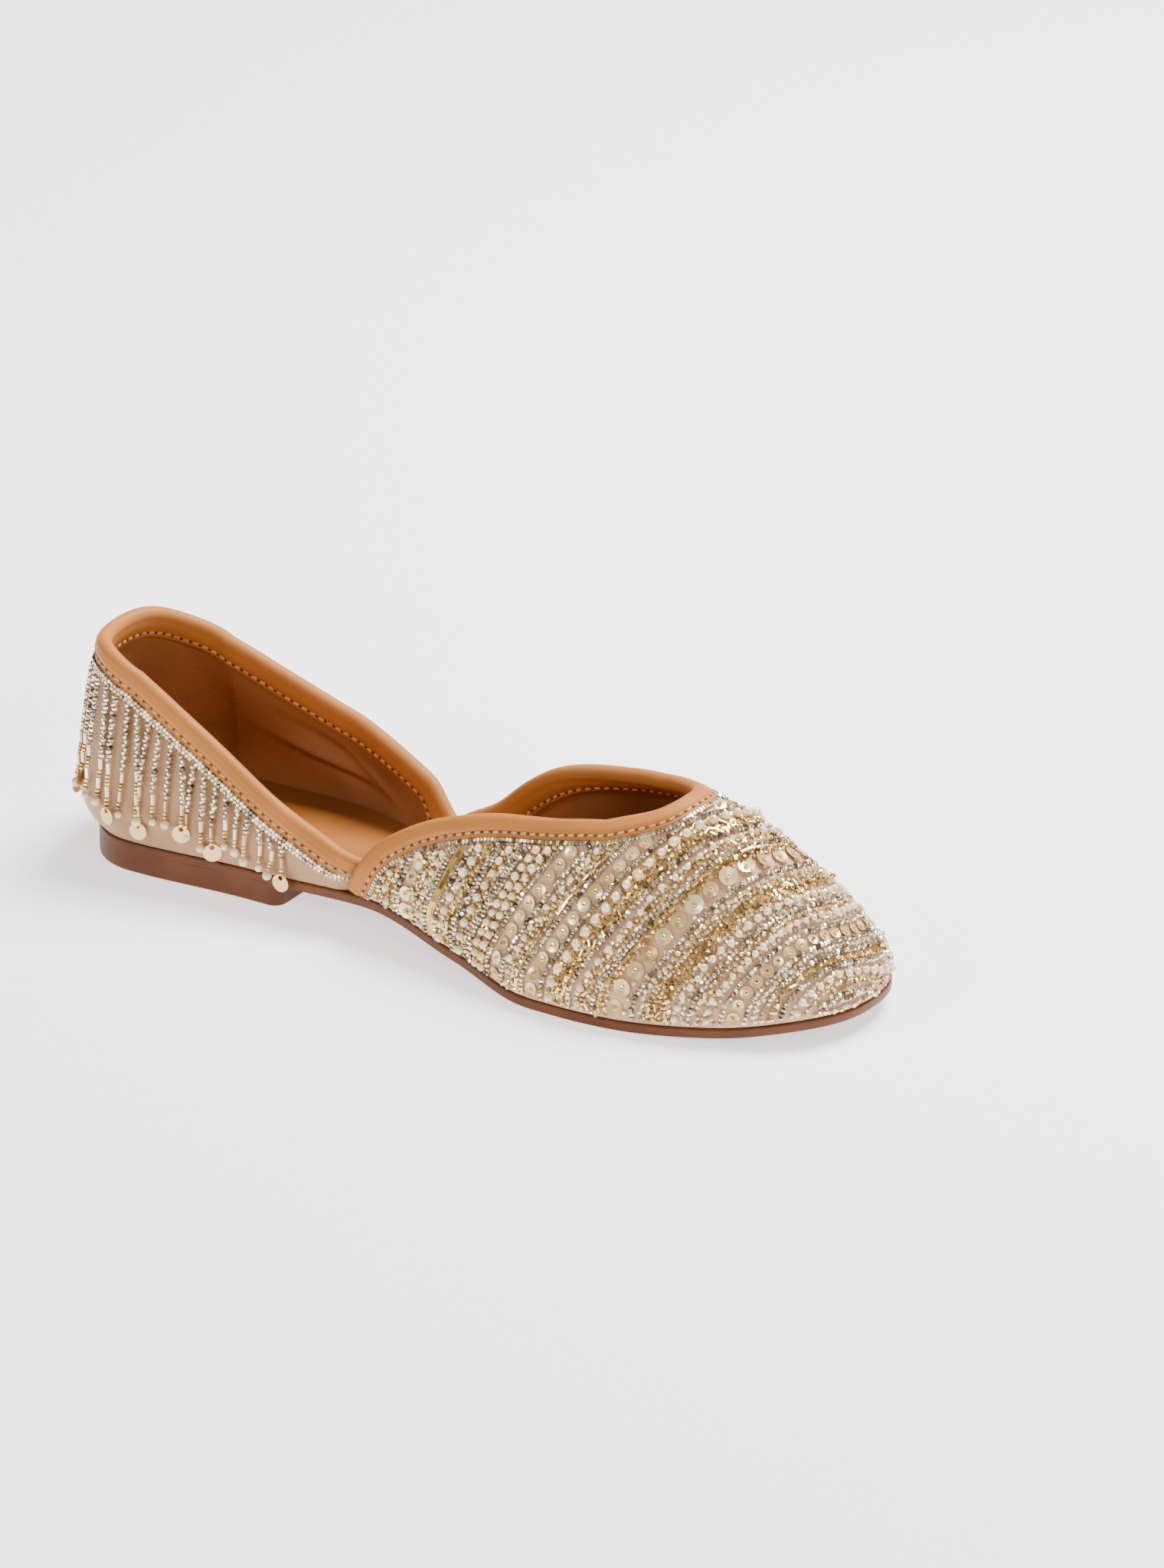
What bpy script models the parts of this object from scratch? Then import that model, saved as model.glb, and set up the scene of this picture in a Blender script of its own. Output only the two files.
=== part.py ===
"""A right slip-on flat shoe: closed beaded front, separate heel counter, sides open to the sole.

Every piece follows one last. A point of its skin is found from two parameters: the distance
round the sole's edge from the back of the heel, and the share of the way up the section.
+X points to the toe, +Y to the inner side, +Z up. The origin is under the heel.
"""
import bpy
import bmesh
import numpy as np

# Driving sizes, in metres
LENGTH = 0.2425            # sole, heel to toe
BALL_WIDTH = 0.083         # sole across the ball
CREST_HEIGHT = 0.060       # ridge of the last above the sole at the instep
BACK_HEIGHT = 0.051        # heel counter above the sole at the back
HEEL_HEIGHT = 0.0062       # heel block under the sole
SHANK_RISE = 0.0016        # how much the waist of the sole stands above its heel
TOE_SPRING = 0.0050        # toe end of the sole above the floor
SOLE_THICKNESS = 0.0027
INSOLE_THICKNESS = 0.0016
WALL = 0.0020              # vamp and counter, outer cloth to lining
LEATHER = 0.0010           # one layer of the rolled binding
BAND = 0.0045              # binding below the wall's edge, outside
FACING = 0.0062            # binding below the wall's edge, inside
HEEL_SWELL = 0.0070        # how far the wall bulges past the sole at the heel
SIDE_SWELL = 0.0034        # the same along the sides and the toe
SWELL_HEIGHT = 0.0110      # height over which the wall reaches its bulge
HEEL_INSET = 0.0014        # heel block inside the sole's edge
HEEL_LENGTH = 0.0690       # heel block, back to breast
HEEL_CORNER = 0.0060       # round corners of the breast, seen from below
EDGE_ROUND = 0.0007        # small rounding at the sole's and the heel's lower edges
BEAD_ROW = 0.0020          # row of beads that heads the fringe
STRING_WIDTH = 0.0019
STRING_DEPTH = 0.0013
STRING_PITCH = 0.0056      # between strings, along the sole's edge
STRING_DROP = 0.0370       # longest string, at the back
STRING_REACH = 0.0960      # last string's place along the sole's edge
STRING_CLEAR = 0.0009      # strings off the wall
PEARL = 0.0034
DISC = 0.0052
PEARL_EVERY = 3            # one string in so many ends in a pearl, the others in a disc
GAP = 0.0003               # clearance between pieces that touch
ROLL = WALL / 2 + GAP + LEATHER   # outer radius of the binding's roll
SOLE_LIP = 0.0004          # how far the sole's side stands out past the wall's foot
ORIGIN = (HEEL_LENGTH / 2, 0.0, 0.0)   # on the floor under the middle of the heel block

# How finely the surfaces are cut
THROAT_POINTS = 61         # points on the vamp's topline
COLLAR_POINTS = 41         # points on the counter's topline
SOLE_STATIONS = 34         # places along the outsole
INSOLE_STATIONS = 30
HEEL_STATIONS = 16
EDGE_POINTS = 1201         # points on the sole's edge when its length is measured
FOOT_SHARE = 0.5           # how far the vamp's columns are spaced by the sole's edge
VAMP_ROWS = 11
COUNTER_ROWS = 8
LOW_ROWS = 1.4             # power that crowds a wall's rows towards the sole
ROLL_POINTS = 7            # points round the binding's half turn
CORNER_POINTS = 5          # points round a corner of the heel's breast
END_POINTS = 6             # points down the side of a pearl or a disc
FINE = 400                 # points on a line before it is spaced out
MERGE = 1e-6               # points nearer than this are one
SHARP = 40                 # edges sharper than this many degrees stay crisp

# Shares that shape the outline's two ends
HEEL_CENTRE = 0.087
TOE_CENTRE = 0.700
WAIST = (0.389, 0.404)     # where the vamp starts, on the outer and on the inner side
RIDGE_END = 0.700          # all sections nearer the toe lean to this place, the dome's middle
HEEL_ROUND = 2.15
TOE_ROUND = (1.70, 2.50)   # how blunt the toe is along the sole and across it
TIP_OFFSET = 0.046         # toe's tip towards the inner side, share of the ball width
SHOULDER = 2.05            # roundness of a section at its ridge

# Sections of the last. along: share of LENGTH. outer and inner: half widths of the sole,
# shares of BALL_WIDTH. crest: ridge height, share of CREST_HEIGHT.
SECTIONS = (
    # along  outer  inner  crest
    (0.087, 0.335, 0.312, 2.05),
    (0.247, 0.304, 0.321, 1.66),
    (0.402, 0.303, 0.208, 1.10),
    (0.547, 0.394, 0.323, 0.90),
    (0.670, 0.487, 0.513, 0.865),
)

# Side view of the sole. heel, shank, toe: shares of HEEL_HEIGHT, SHANK_RISE and TOE_SPRING.
PROFILE = (
    # along  heel  shank  toe
    (0.000, 1.00, 0.00, 0.00),
    (0.250, 1.00, 0.20, 0.00),
    (0.391, 1.00, 1.00, 0.00),
    (0.533, 0.40, 0.60, 0.00),
    (0.650, 0.00, 0.00, 0.00),
    (0.752, 0.00, 0.00, 0.00),
    (0.878, 0.00, 0.00, 0.34),
    (1.000, 0.00, 0.00, 1.00),
)

# Topline of the heel counter. outer and inner: heights above the sole, shares of BACK_HEIGHT.
COLLAR = (
    # along  outer  inner
    (0.000, 1.010, 1.010),
    (0.031, 1.050, 0.900),
    (0.093, 0.930, 0.800),
    (0.175, 0.702, 0.660),
    (0.279, 0.396, 0.492),
    (0.381, 0.182, 0.325),
)

# Topline of the vamp. way: share of the way from the waist to the toe's tip. outer and inner:
# shares of the way up the sections.
THROAT = (
    # way   outer  inner
    (0.000, 0.014, 0.020),
    (0.012, 0.041, 0.035),
    (0.043, 0.111, 0.070),
    (0.100, 0.193, 0.125),
    (0.182, 0.309, 0.280),
    (0.280, 0.426, 0.450),
    (0.394, 0.534, 0.570),
    (0.509, 0.608, 0.635),
    (0.640, 0.667, 0.680),
    (0.787, 0.712, 0.712),
    (1.000, 0.793, 0.793),
)

# Length of the fringe's strings. away: from the heel's back, share of STRING_REACH.
STRINGS = (
    # away  drop, share of STRING_DROP
    (0.00, 1.00),
    (0.35, 0.85),
    (0.70, 0.55),
    (1.00, 0.25),
)


def curve(table, column, along):
    """Smooth curve through one column of a table, level at both ends and without overshoot."""
    rows = np.array(table)
    x, y = rows[:, 0], rows[:, column]
    run, rise = np.diff(x), np.diff(y) / np.diff(x)
    slope = np.zeros(len(x))
    same = rise[:-1] * rise[1:] > 0
    mean = 2 * rise[:-1] * rise[1:] / np.where(same, rise[:-1] + rise[1:], 1)
    slope[1:-1] = np.where(same, mean, 0)
    along = np.clip(along, x[0], x[-1])
    k = np.clip(np.searchsorted(x, along, side="right") - 1, 0, len(run) - 1)
    t = (along - x[k]) / run[k]
    ends = y[k] * (1 + 2 * t) * (1 - t) ** 2 + y[k + 1] * (3 - 2 * t) * t ** 2
    return ends + run[k] * t * (1 - t) * (slope[k] * (1 - t) - slope[k + 1] * t)


def seat_height(x):
    """Height of the sole's top at a distance x from its back end."""
    along = x / LENGTH
    under = HEEL_HEIGHT * curve(PROFILE, 1, along) + SHANK_RISE * curve(PROFILE, 2, along)
    return SOLE_THICKNESS + GAP + under + TOE_SPRING * curve(PROFILE, 3, along)


def outline(along, inner):
    """Half width of the sole as seen from above; inner is True on the inner side."""
    width = BALL_WIDTH * np.where(inner, curve(SECTIONS, 2, along), -curve(SECTIONS, 1, along))
    back = np.clip((HEEL_CENTRE - along) / HEEL_CENTRE, 0, 1)
    front = np.clip((along - TOE_CENTRE) / (1 - TOE_CENTRE), 0, 1)
    tip = TIP_OFFSET * BALL_WIDTH * (front > 0)
    heel_cap = (1 - back ** HEEL_ROUND) ** (1 / HEEL_ROUND)
    toe_cap = (1 - front ** TOE_ROUND[0]) ** (1 / TOE_ROUND[1])
    return tip + (width * heel_cap - tip) * toe_cap


def edge_table():
    """The sole's edge as distances round it, from the heel's back, against shares along it."""
    turn = np.linspace(0, np.pi, EDGE_POINTS)
    along = (1 - np.cos(turn)) / 2
    tables = []
    for inner in (False, True):
        points = np.stack([along * LENGTH, outline(along, inner)], -1)
        steps = np.linalg.norm(np.diff(points, axis=0), axis=1)
        tables.append(np.concatenate([[0], np.cumsum(steps)]))
    return along, tables[0], tables[1]


EDGE_ALONG, EDGE_OUTER, EDGE_INNER = edge_table()
PERIMETER = EDGE_OUTER[-1] + EDGE_INNER[-1]


def wrapped(distance):
    """A distance that runs on past the toe's tip, as the signed distance on the other side."""
    return (np.asarray(distance) + EDGE_OUTER[-1]) % PERIMETER - EDGE_OUTER[-1]


def edge_distance(along, inner):
    """Signed distance round the edge: below zero on the outer side, above it on the inner."""
    outer_side = -np.interp(along, EDGE_ALONG, EDGE_OUTER)
    return np.where(inner, np.interp(along, EDGE_ALONG, EDGE_INNER), outer_side)


def along_of(distance):
    """Share along the sole of a signed distance round its edge."""
    distance = wrapped(distance)
    outer_side = np.interp(-distance, EDGE_OUTER, EDGE_ALONG)
    return np.where(distance > 0, np.interp(distance, EDGE_INNER, EDGE_ALONG), outer_side)


def spine(along):
    """Place on the centre line that the section at a share along the sole leans towards."""
    return np.clip(along, HEEL_CENTRE, RIDGE_END) * LENGTH


def crest(along):
    """Height of the ridge above the sole."""
    return CREST_HEIGHT * curve(SECTIONS, 3, along)


def swell(along, height):
    """Bulge of the wall past the sole's edge: none at the sole, full at SWELL_HEIGHT."""
    heel = np.clip(1 - (along / HEEL_CENTRE) ** 2, 0, 1)
    full = SIDE_SWELL + (HEEL_SWELL - SIDE_SWELL) * heel
    return full * (1 - np.clip(1 - height / SWELL_HEIGHT, 0, 1) ** 2)


def skin(distance, up, out=0.0):
    """Point of the last's skin, on an arch from the sole's edge to the ridge.

    distance is the signed distance round the sole's edge. up is the share of the way in from
    the edge to the ridge: the height falls short of the ridge by the share left, to the power
    SHOULDER. out moves the skin outwards.
    """
    distance, up = np.broadcast_arrays(np.asarray(distance, float), np.asarray(up, float))
    along = along_of(distance)
    edge_x, edge_y = along * LENGTH, outline(along, wrapped(distance) > 0)
    spine_x = spine(along)
    reach = 1 - np.clip(up, 0, 1)
    height = (crest(along) + out) * (1 - reach ** SHOULDER)
    side = np.hypot(edge_x - spine_x, edge_y)
    share = reach * (side + out + swell(along, height)) / side
    x = spine_x + (edge_x - spine_x) * share
    return np.stack([x, edge_y * share, seat_height(np.clip(x, 0, LENGTH)) + height], -1)


def up_of(along, height):
    """Share of the way up a section at a height above the sole."""
    return 1 - (1 - np.clip(height / crest(along), 0, 1)) ** (1 / SHOULDER)


def partials(distance, up, out):
    """Directions in which the skin runs along the edge and up the section, by differences."""
    ds, du = 1e-4, 1e-3
    low = np.clip(up - du / 2, 0, 1 - du)
    along = (skin(distance + ds, up, out) - skin(distance - ds, up, out)) / (2 * ds)
    upward = (skin(distance, low + du, out) - skin(distance, low, out)) / du
    return along, upward


def unit(vectors):
    """Vectors of length one."""
    return vectors / np.linalg.norm(vectors, axis=-1, keepdims=True)


def outward(distance, up):
    """The skin's outward normal: the cross product of its two directions."""
    along, upward = partials(distance, up, 0.0)
    return unit(np.cross(upward, along))


def walk(distance, up, width):
    """Carry a line on the skin sideways by a width, square to itself and along the skin."""
    tangent = unit(np.gradient(skin(distance, up), axis=0))
    steps = 4
    for _ in range(steps):
        along, upward = partials(distance, up, 0.0)
        sideways = np.cross(unit(np.cross(upward, along)), tangent) * width / steps
        aa, au, uu = (along ** 2).sum(-1), (along * upward).sum(-1), (upward ** 2).sum(-1)
        sa, su = (sideways * along).sum(-1), (sideways * upward).sum(-1)
        whole = aa * uu - au ** 2
        distance = distance + (sa * uu - su * au) / whole
        up = up + (su * aa - sa * au) / whole
    return distance, up


def material(name, colour, roughness, metallic=0.0):
    """A plain finish of one colour."""
    finish = bpy.data.materials.new(name)
    finish.use_nodes = True
    shader = finish.node_tree.nodes["Principled BSDF"]
    shader.inputs["Base Color"].default_value = (*colour, 1.0)
    shader.inputs["Roughness"].default_value = roughness
    shader.inputs["Metallic"].default_value = metallic
    return finish


def solid(name, points, faces, finish):
    """One closed object from points and faces, its double points merged and faces outward."""
    mesh = bpy.data.meshes.new(name)
    mesh.from_pydata((np.asarray(points) - ORIGIN).tolist(), [], faces)
    body = bmesh.new()
    body.from_mesh(mesh)
    bmesh.ops.remove_doubles(body, verts=body.verts, dist=MERGE)
    bmesh.ops.dissolve_degenerate(body, edges=body.edges, dist=MERGE)
    bmesh.ops.recalc_face_normals(body, faces=body.faces)
    bmesh.ops.triangulate(body, faces=[f for f in body.faces if len(f.verts) > 4])
    body.to_mesh(mesh)
    body.free()
    mesh.materials.append(finish)
    mesh.shade_smooth()
    mesh.set_sharp_from_angle(angle=np.radians(SHARP))
    piece = bpy.data.objects.new(name, mesh)
    bpy.context.scene.collection.objects.link(piece)
    return piece


def grid_quads(rows, columns, start=0):
    """Four-sided faces of a grid of points, row after row."""
    corner = start + np.arange(rows - 1)[:, None] * columns + np.arange(columns - 1)
    quads = np.stack([corner, corner + 1, corner + columns + 1, corner + columns], -1)
    return quads.reshape(-1, 4).tolist()


def joined(points, quads):
    """The same faces, as numbers of points, with points that fall together counted as one."""
    sheet = bmesh.new()
    number = sheet.verts.layers.int.new("number")
    corners = [sheet.verts.new(point) for point in points]
    for k, corner in enumerate(corners):
        corner[number] = k
    for quad in quads:
        sheet.faces.new([corners[k] for k in quad])
    bmesh.ops.remove_doubles(sheet, verts=sheet.verts, dist=MERGE)
    faces = [[corner[number] for corner in face.verts] for face in sheet.faces]
    sheet.free()
    return faces


def walled(name, outer, inner, quads, finish):
    """A wall between two matching sheets of points; each border of the sheet becomes a rim."""
    number = len(outer)
    sheet = joined(outer, quads)
    sides = {(a, b) for face in sheet for a, b in zip(face, face[1:] + face[:1])}
    faces = sheet + [[number + k for k in reversed(face)] for face in sheet]
    rim = sorted(side for side in sides if side[::-1] not in sides)
    faces += [[b, a, number + a, number + b] for a, b in rim]
    return solid(name, np.concatenate([outer, inner]), faces, finish)


def plate(name, rings, finish):
    """A closed plate from rings of points, lowest first; a ring has an outer and an inner side."""
    loops = [np.concatenate([ring[0], ring[1, ::-1]]) for ring in rings]
    around = len(loops[0])
    half = around // 2
    faces = []
    for level in range(len(loops) - 1):
        start = level * around
        for k in range(around):
            after = (k + 1) % around
            faces.append([start + k, start + after, start + around + after, start + around + k])
    top = (len(loops) - 1) * around
    for k in range(half - 1):
        a, b = k, k + 1
        c, d = around - 2 - k, around - 1 - k
        faces.append([a, d, c, b])
        faces.append([top + a, top + b, top + c, top + d])
    return solid(name, np.concatenate(loops), faces, finish)


def edge_ring(along, inset, level, rise=0.0):
    """The sole's edge on both sides, set in, at a rise above the level of each place along x."""
    sides = []
    for inner in (False, True):
        ends = []
        for step in (-MERGE, MERGE):
            distance = wrapped(edge_distance(along, inner) + step)
            here = along_of(distance)
            ends.append(np.stack([here * LENGTH, outline(here, distance > 0)], -1))
        tangent = unit(ends[1] - ends[0])
        point = np.stack([along * LENGTH, outline(along, inner)], -1)
        point = point + inset * np.stack([tangent[:, 1], -tangent[:, 0]], -1)
        sides.append(np.concatenate([point, level(point[:, :1]) + rise], -1))
    return np.array(sides)


def floor(x):
    """Height of the ground that the shoe stands on."""
    return np.zeros_like(x)


def under_sole(x):
    """Height of the sole's underside."""
    return seat_height(np.clip(x, 0, LENGTH)) - GAP - SOLE_THICKNESS


def even_stations(count, start=0.0, end=1.0):
    """Shares along the sole, evenly spaced round its edge so that both ends stay round."""
    return along_of(np.linspace(edge_distance(start, True), edge_distance(end, True), count))


def make_outsole(finish):
    """The sole plate: level across, its side slightly proud, its lower edge rounded."""
    along = even_stations(SOLE_STATIONS)
    rings = [
        edge_ring(along, EDGE_ROUND, under_sole),
        edge_ring(along, -SOLE_LIP, under_sole, EDGE_ROUND),
        edge_ring(along, -SOLE_LIP, under_sole, SOLE_THICKNESS),
    ]
    return plate("outsole", rings, finish)


def make_heel(finish):
    """The heel block: the sole's outline cut straight at the breast, with round corners."""
    straight = even_stations(HEEL_STATIONS, 0, (HEEL_LENGTH - HEEL_CORNER) / LENGTH)
    turn = np.linspace(0, np.pi / 2, CORNER_POINTS)[1:]
    corner = (HEEL_LENGTH - HEEL_CORNER + HEEL_CORNER * np.sin(turn)) / LENGTH
    along = np.concatenate([straight, corner])
    narrow = np.concatenate([np.zeros(HEEL_STATIONS), HEEL_CORNER * (1 - np.cos(turn))])
    rings = [
        edge_ring(along, HEEL_INSET + EDGE_ROUND, floor),
        edge_ring(along, HEEL_INSET, floor, EDGE_ROUND),
        edge_ring(along, HEEL_INSET, under_sole, -GAP),
    ]
    for ring in rings:
        ring[0, :, 1] += narrow
        ring[1, :, 1] -= narrow
    return plate("heel_block", rings, finish)


def make_insole(finish):
    """The insole board, inside the wall and the binding's inner layer."""
    inset = WALL + LEATHER + 2 * GAP
    along = even_stations(INSOLE_STATIONS)
    rings = [edge_ring(along, inset, seat_height, rise) for rise in (0, INSOLE_THICKNESS)]
    return plate("insole", rings, finish)


def throat_up(distance):
    """How far up its section the vamp reaches."""
    inner = wrapped(distance) > 0
    waist = np.where(inner, WAIST[1], WAIST[0])
    way = (along_of(distance) - waist) / (1 - waist)
    return np.where(inner, curve(THROAT, 2, way), curve(THROAT, 1, way))


def collar_up(distance):
    """How far up its section the heel counter reaches."""
    along = along_of(distance)
    height = np.where(distance > 0, curve(COLLAR, 2, along), curve(COLLAR, 1, along))
    return up_of(along, BACK_HEIGHT * height)


def even_line(distance, up, count, foot=0.0):
    """The same line on the skin with its points evenly spaced.

    foot is the weight of even spacing below the line, at the sole's edge.
    """
    steps = np.linalg.norm(np.diff(skin(distance, up), axis=0), axis=1)
    run = np.concatenate([[0], np.cumsum(steps)])
    below = np.abs(distance - distance[0])
    run = (1 - foot) * run / run[-1] + foot * below / below[-1]
    even = np.linspace(0, 1, count)
    return np.interp(even, run, distance), np.interp(even, run, up)


def throat_line(count):
    """The vamp's topline, from the outer side over the throat to the inner side."""
    ends = edge_distance(WAIST[0], False), edge_distance(WAIST[1], True) - PERIMETER
    distance = np.linspace(*ends, FINE)
    return even_line(distance, throat_up(distance), count, FOOT_SHARE)


def collar_line(count):
    """The heel counter's topline, from the outer side round the heel to the inner side.

    It ends behind the roll of the vamp's binding.
    """
    behind = (ROLL + 2 * GAP + ROLL) / LENGTH
    ends = [edge_distance(WAIST[k] - behind, k == 1) for k in range(2)]
    distance = np.linspace(*ends, FINE)
    return even_line(distance, collar_up(distance), count)


def make_wall(name, distance, top, rows, finish):
    """A wall that stands on the sole's edge: its columns climb in rows to a topline."""
    up = top * np.linspace(0, 1, rows)[:, None] ** LOW_ROWS
    outer = skin(distance, up).reshape(-1, 3)
    lining = skin(distance, up, -WALL).reshape(-1, 3)
    return walled(name, outer, lining, grid_quads(rows, len(distance)), finish)


def fold():
    """The binding's folded section: places below the wall's edge and off its outer face.

    Both paths run from the outer layer's lower edge over the roll to the inner layer's. The
    inner layer stands a little further off, because the lining's flats cut its curve.
    """
    turn = np.linspace(0, np.pi, ROLL_POINTS)
    middle = -WALL / 2
    hollow = WALL / 2 + GAP
    inner_hollow = hollow + GAP
    paths = []
    for thick, rise in ((LEATHER, ROLL), (0.0, ROLL - LEATHER - GAP)):
        outer_off, inner_off = middle + hollow + thick, middle - inner_hollow - thick
        outer_leg = [(BAND, outer_off), (BAND / 2, outer_off)]
        inner_leg = [(FACING / 2, inner_off), (FACING, inner_off)]
        over = np.stack([-rise * np.sin(turn), middle + (hollow + thick) * np.cos(turn)], -1)
        paths.append(np.concatenate([outer_leg, over, inner_leg]))
    return paths


def carried(distance, up, section, side):
    """A section carried along a line on the skin: one row of points for each of its places."""
    down = unit(skin(*walk(distance, up, side * ROLL)) - skin(distance, up))
    normal = outward(distance, up)
    rows = []
    for below, off in section:
        if below > 0:
            there = walk(distance, up, side * below)
            there = there[0], np.maximum(there[1], 0)
            rows.append(skin(*there) + off * outward(*there))
        else:
            rows.append(skin(distance, up) + below * down + off * normal)
    rows = np.array(rows)
    seat = seat_height(rows[..., 0])
    rows[..., 2] = np.maximum(rows[..., 2], seat)
    return rows


def make_binding(name, distance, up, side, finish):
    """A rolled leather binding folded over a wall's edge, one layer thick all round."""
    over, under = fold()
    outer = carried(distance, up, over, side)
    inner = carried(distance, up, under, side)
    quads = grid_quads(*outer.shape[:2])
    return walled(name, outer.reshape(-1, 3), inner.reshape(-1, 3), quads, finish)


def hanging(distance, height, off):
    """A point off the skin at a height; under the wall's bulge it hangs straight down."""
    along = along_of(distance)
    held = np.maximum(height, SWELL_HEIGHT)
    up = up_of(along, held)
    point = skin(distance, up) + off[:, None] * outward(distance, up)
    point[:, 2] -= held - height
    return point


def string_rows(drop, pearl):
    """A string's levels: how far down, how wide and how deep it is at each of them.

    A thin stretch comes first, then the round outline of the pearl or the disc at its end.
    """
    end = PEARL if pearl else DISC
    turn = np.linspace(0, np.pi, END_POINTS)[1:-1]
    down = drop - end * (1 + np.cos(turn)) / 2
    width = np.maximum(end * np.sin(turn), STRING_WIDTH)
    depth = np.maximum(end * np.sin(turn), STRING_DEPTH) if pearl else STRING_DEPTH + 0 * turn
    down = np.concatenate([[drop / 2, drop - end - STRING_WIDTH], down, [drop]])
    width = np.concatenate([[STRING_WIDTH] * 2, width, [STRING_WIDTH / 2]])
    depth = np.concatenate([[STRING_DEPTH] * 2, depth, [STRING_DEPTH]])
    return down, width, depth


def make_fringe(finish):
    """The bead row under the counter's binding and the strings that hang from it, fused on."""
    places = np.arange(-STRING_REACH, STRING_REACH + STRING_PITCH / 2, STRING_PITCH)
    columns = np.stack([places - STRING_WIDTH / 2, places + STRING_WIDTH / 2], -1).ravel()
    line = collar_line(FINE)
    heads = []
    for below in (BAND + GAP, BAND + GAP + BEAD_ROW):
        distance, up = walk(*line, below)
        heads.append((columns, np.interp(columns, distance, up)))
    count = len(columns)
    off = np.full(count, GAP)
    outer = [skin(*head) + (off + STRING_DEPTH)[:, None] * outward(*head) for head in heads]
    inner = [skin(*head) + off[:, None] * outward(*head) for head in heads]
    quads = grid_quads(2, count)
    number = 2 * count
    head_height = crest(along_of(columns)) * (1 - (1 - heads[1][1]) ** SHOULDER)
    for k, place in enumerate(places):
        share = np.abs(place) / STRING_REACH
        drop = STRING_DROP * curve(STRINGS, 1, share)
        down, width, depth = string_rows(drop, k % PEARL_EVERY == 1)
        above = (count + 2 * k, count + 2 * k + 1)
        for level, wide, deep in zip(down, width, depth):
            pair = place + np.array([-wide, wide]) / 2
            height = np.full(2, head_height[2 * k:2 * k + 2].mean() - level)
            outer.append(hanging(pair, height, np.full(2, STRING_CLEAR + deep)))
            inner.append(hanging(pair, height, np.full(2, STRING_CLEAR)))
            quads.append([above[0], above[1], number + 1, number])
            above = (number, number + 1)
            number += 2
    outer, inner = np.concatenate(outer), np.concatenate(inner)
    return walled("bead_fringe", outer, inner, quads, finish)


def main():
    """Make every piece."""
    for thing in list(bpy.data.objects):
        bpy.data.objects.remove(thing, do_unlink=True)
    leather = material("tan_leather", (0.58, 0.28, 0.11), 0.45)
    rubber = material("brown_sole", (0.19, 0.055, 0.02), 0.5)
    satin = material("blush_satin", (0.61, 0.43, 0.33), 0.4)
    beaded = material("beaded_cloth", (0.58, 0.47, 0.34), 0.35, 0.3)
    silver = material("silver_beads", (0.62, 0.58, 0.5), 0.25, 0.7)
    make_outsole(rubber)
    make_heel(rubber)
    make_insole(leather)
    make_wall("upper_vamp", *throat_line(THROAT_POINTS), VAMP_ROWS, beaded)
    make_wall("upper_quarter", *collar_line(COLLAR_POINTS), COUNTER_ROWS, satin)
    make_binding("vamp_binding", *throat_line(THROAT_POINTS), -1, leather)
    make_binding("quarter_binding", *collar_line(COLLAR_POINTS), 1, leather)
    make_fringe(silver)


main()
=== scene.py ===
# %% [markdown]
# # A beaded slip-on shoe, dressed over its CAD frame
# This lesson dresses one flat slip-on shoe: a closed front covered in beadwork, a satin heel counter with a
# bead fringe, rolled leather bindings, a leather lining and a low brown sole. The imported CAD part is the
# fixed frame. Every piece made here follows the same last, so the looks and the collision solids agree. We
# start by loading the frame and measuring it, so that the two sizes can be compared at the end.

import bpy
import bmesh
import numpy as np
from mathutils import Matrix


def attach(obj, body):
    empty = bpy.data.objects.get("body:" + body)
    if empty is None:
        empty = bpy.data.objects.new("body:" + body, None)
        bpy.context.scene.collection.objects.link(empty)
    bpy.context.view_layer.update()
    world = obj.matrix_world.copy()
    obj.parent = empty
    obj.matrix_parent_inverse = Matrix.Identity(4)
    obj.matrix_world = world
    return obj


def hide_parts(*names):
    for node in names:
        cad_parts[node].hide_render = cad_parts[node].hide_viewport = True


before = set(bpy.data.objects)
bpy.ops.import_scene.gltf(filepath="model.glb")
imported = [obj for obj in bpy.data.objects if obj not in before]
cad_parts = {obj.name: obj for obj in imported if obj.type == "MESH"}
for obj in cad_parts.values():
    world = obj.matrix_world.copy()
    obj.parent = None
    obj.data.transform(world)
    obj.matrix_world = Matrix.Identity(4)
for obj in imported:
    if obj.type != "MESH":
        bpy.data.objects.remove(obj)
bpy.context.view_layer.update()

MM = 0.001
rng = np.random.default_rng(7)

# %% [markdown]
# ## The camera
# The photograph was taken with a long lens from about two metres, 25 degrees above the floor, with the toe
# to the lower right. A long lens flattens perspective, which is usual for product pictures. The camera
# stands on a sphere round a point in the middle of the shoe, so three angles, a distance and a focal length
# describe it.

# %% Place the camera
AZIMUTH, ELEVATION, LEAN = np.radians([31.76, 24.58, 0.60])
DISTANCE = 2.271
TARGET = np.array([0.1170, 0.0, 0.0487])
LENS = 192.25
across = np.array([np.cos(AZIMUTH), np.sin(AZIMUTH), 0.0])
flat = np.cos(ELEVATION)
back = np.array([np.sin(AZIMUTH) * flat, -np.cos(AZIMUTH) * flat, np.sin(ELEVATION)])
above = np.cross(back, across)
right = across * np.cos(LEAN) + above * np.sin(LEAN)
upright = above * np.cos(LEAN) - across * np.sin(LEAN)
camera = bpy.data.objects.new("camera", bpy.data.cameras.new("camera"))
bpy.context.scene.collection.objects.link(camera)
camera.data.lens = LENS
camera.data.clip_start, camera.data.clip_end = 0.1, 60
turned = np.eye(4)
turned[:3, :3] = np.stack([right, upright, back], -1)
turned[:3, 3] = TARGET + DISTANCE * back
camera.matrix_world = turned.T
bpy.context.scene.camera = camera
print("camera at", np.round(turned[:3, 3], 3), "m, lens", LENS, "mm")

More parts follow.
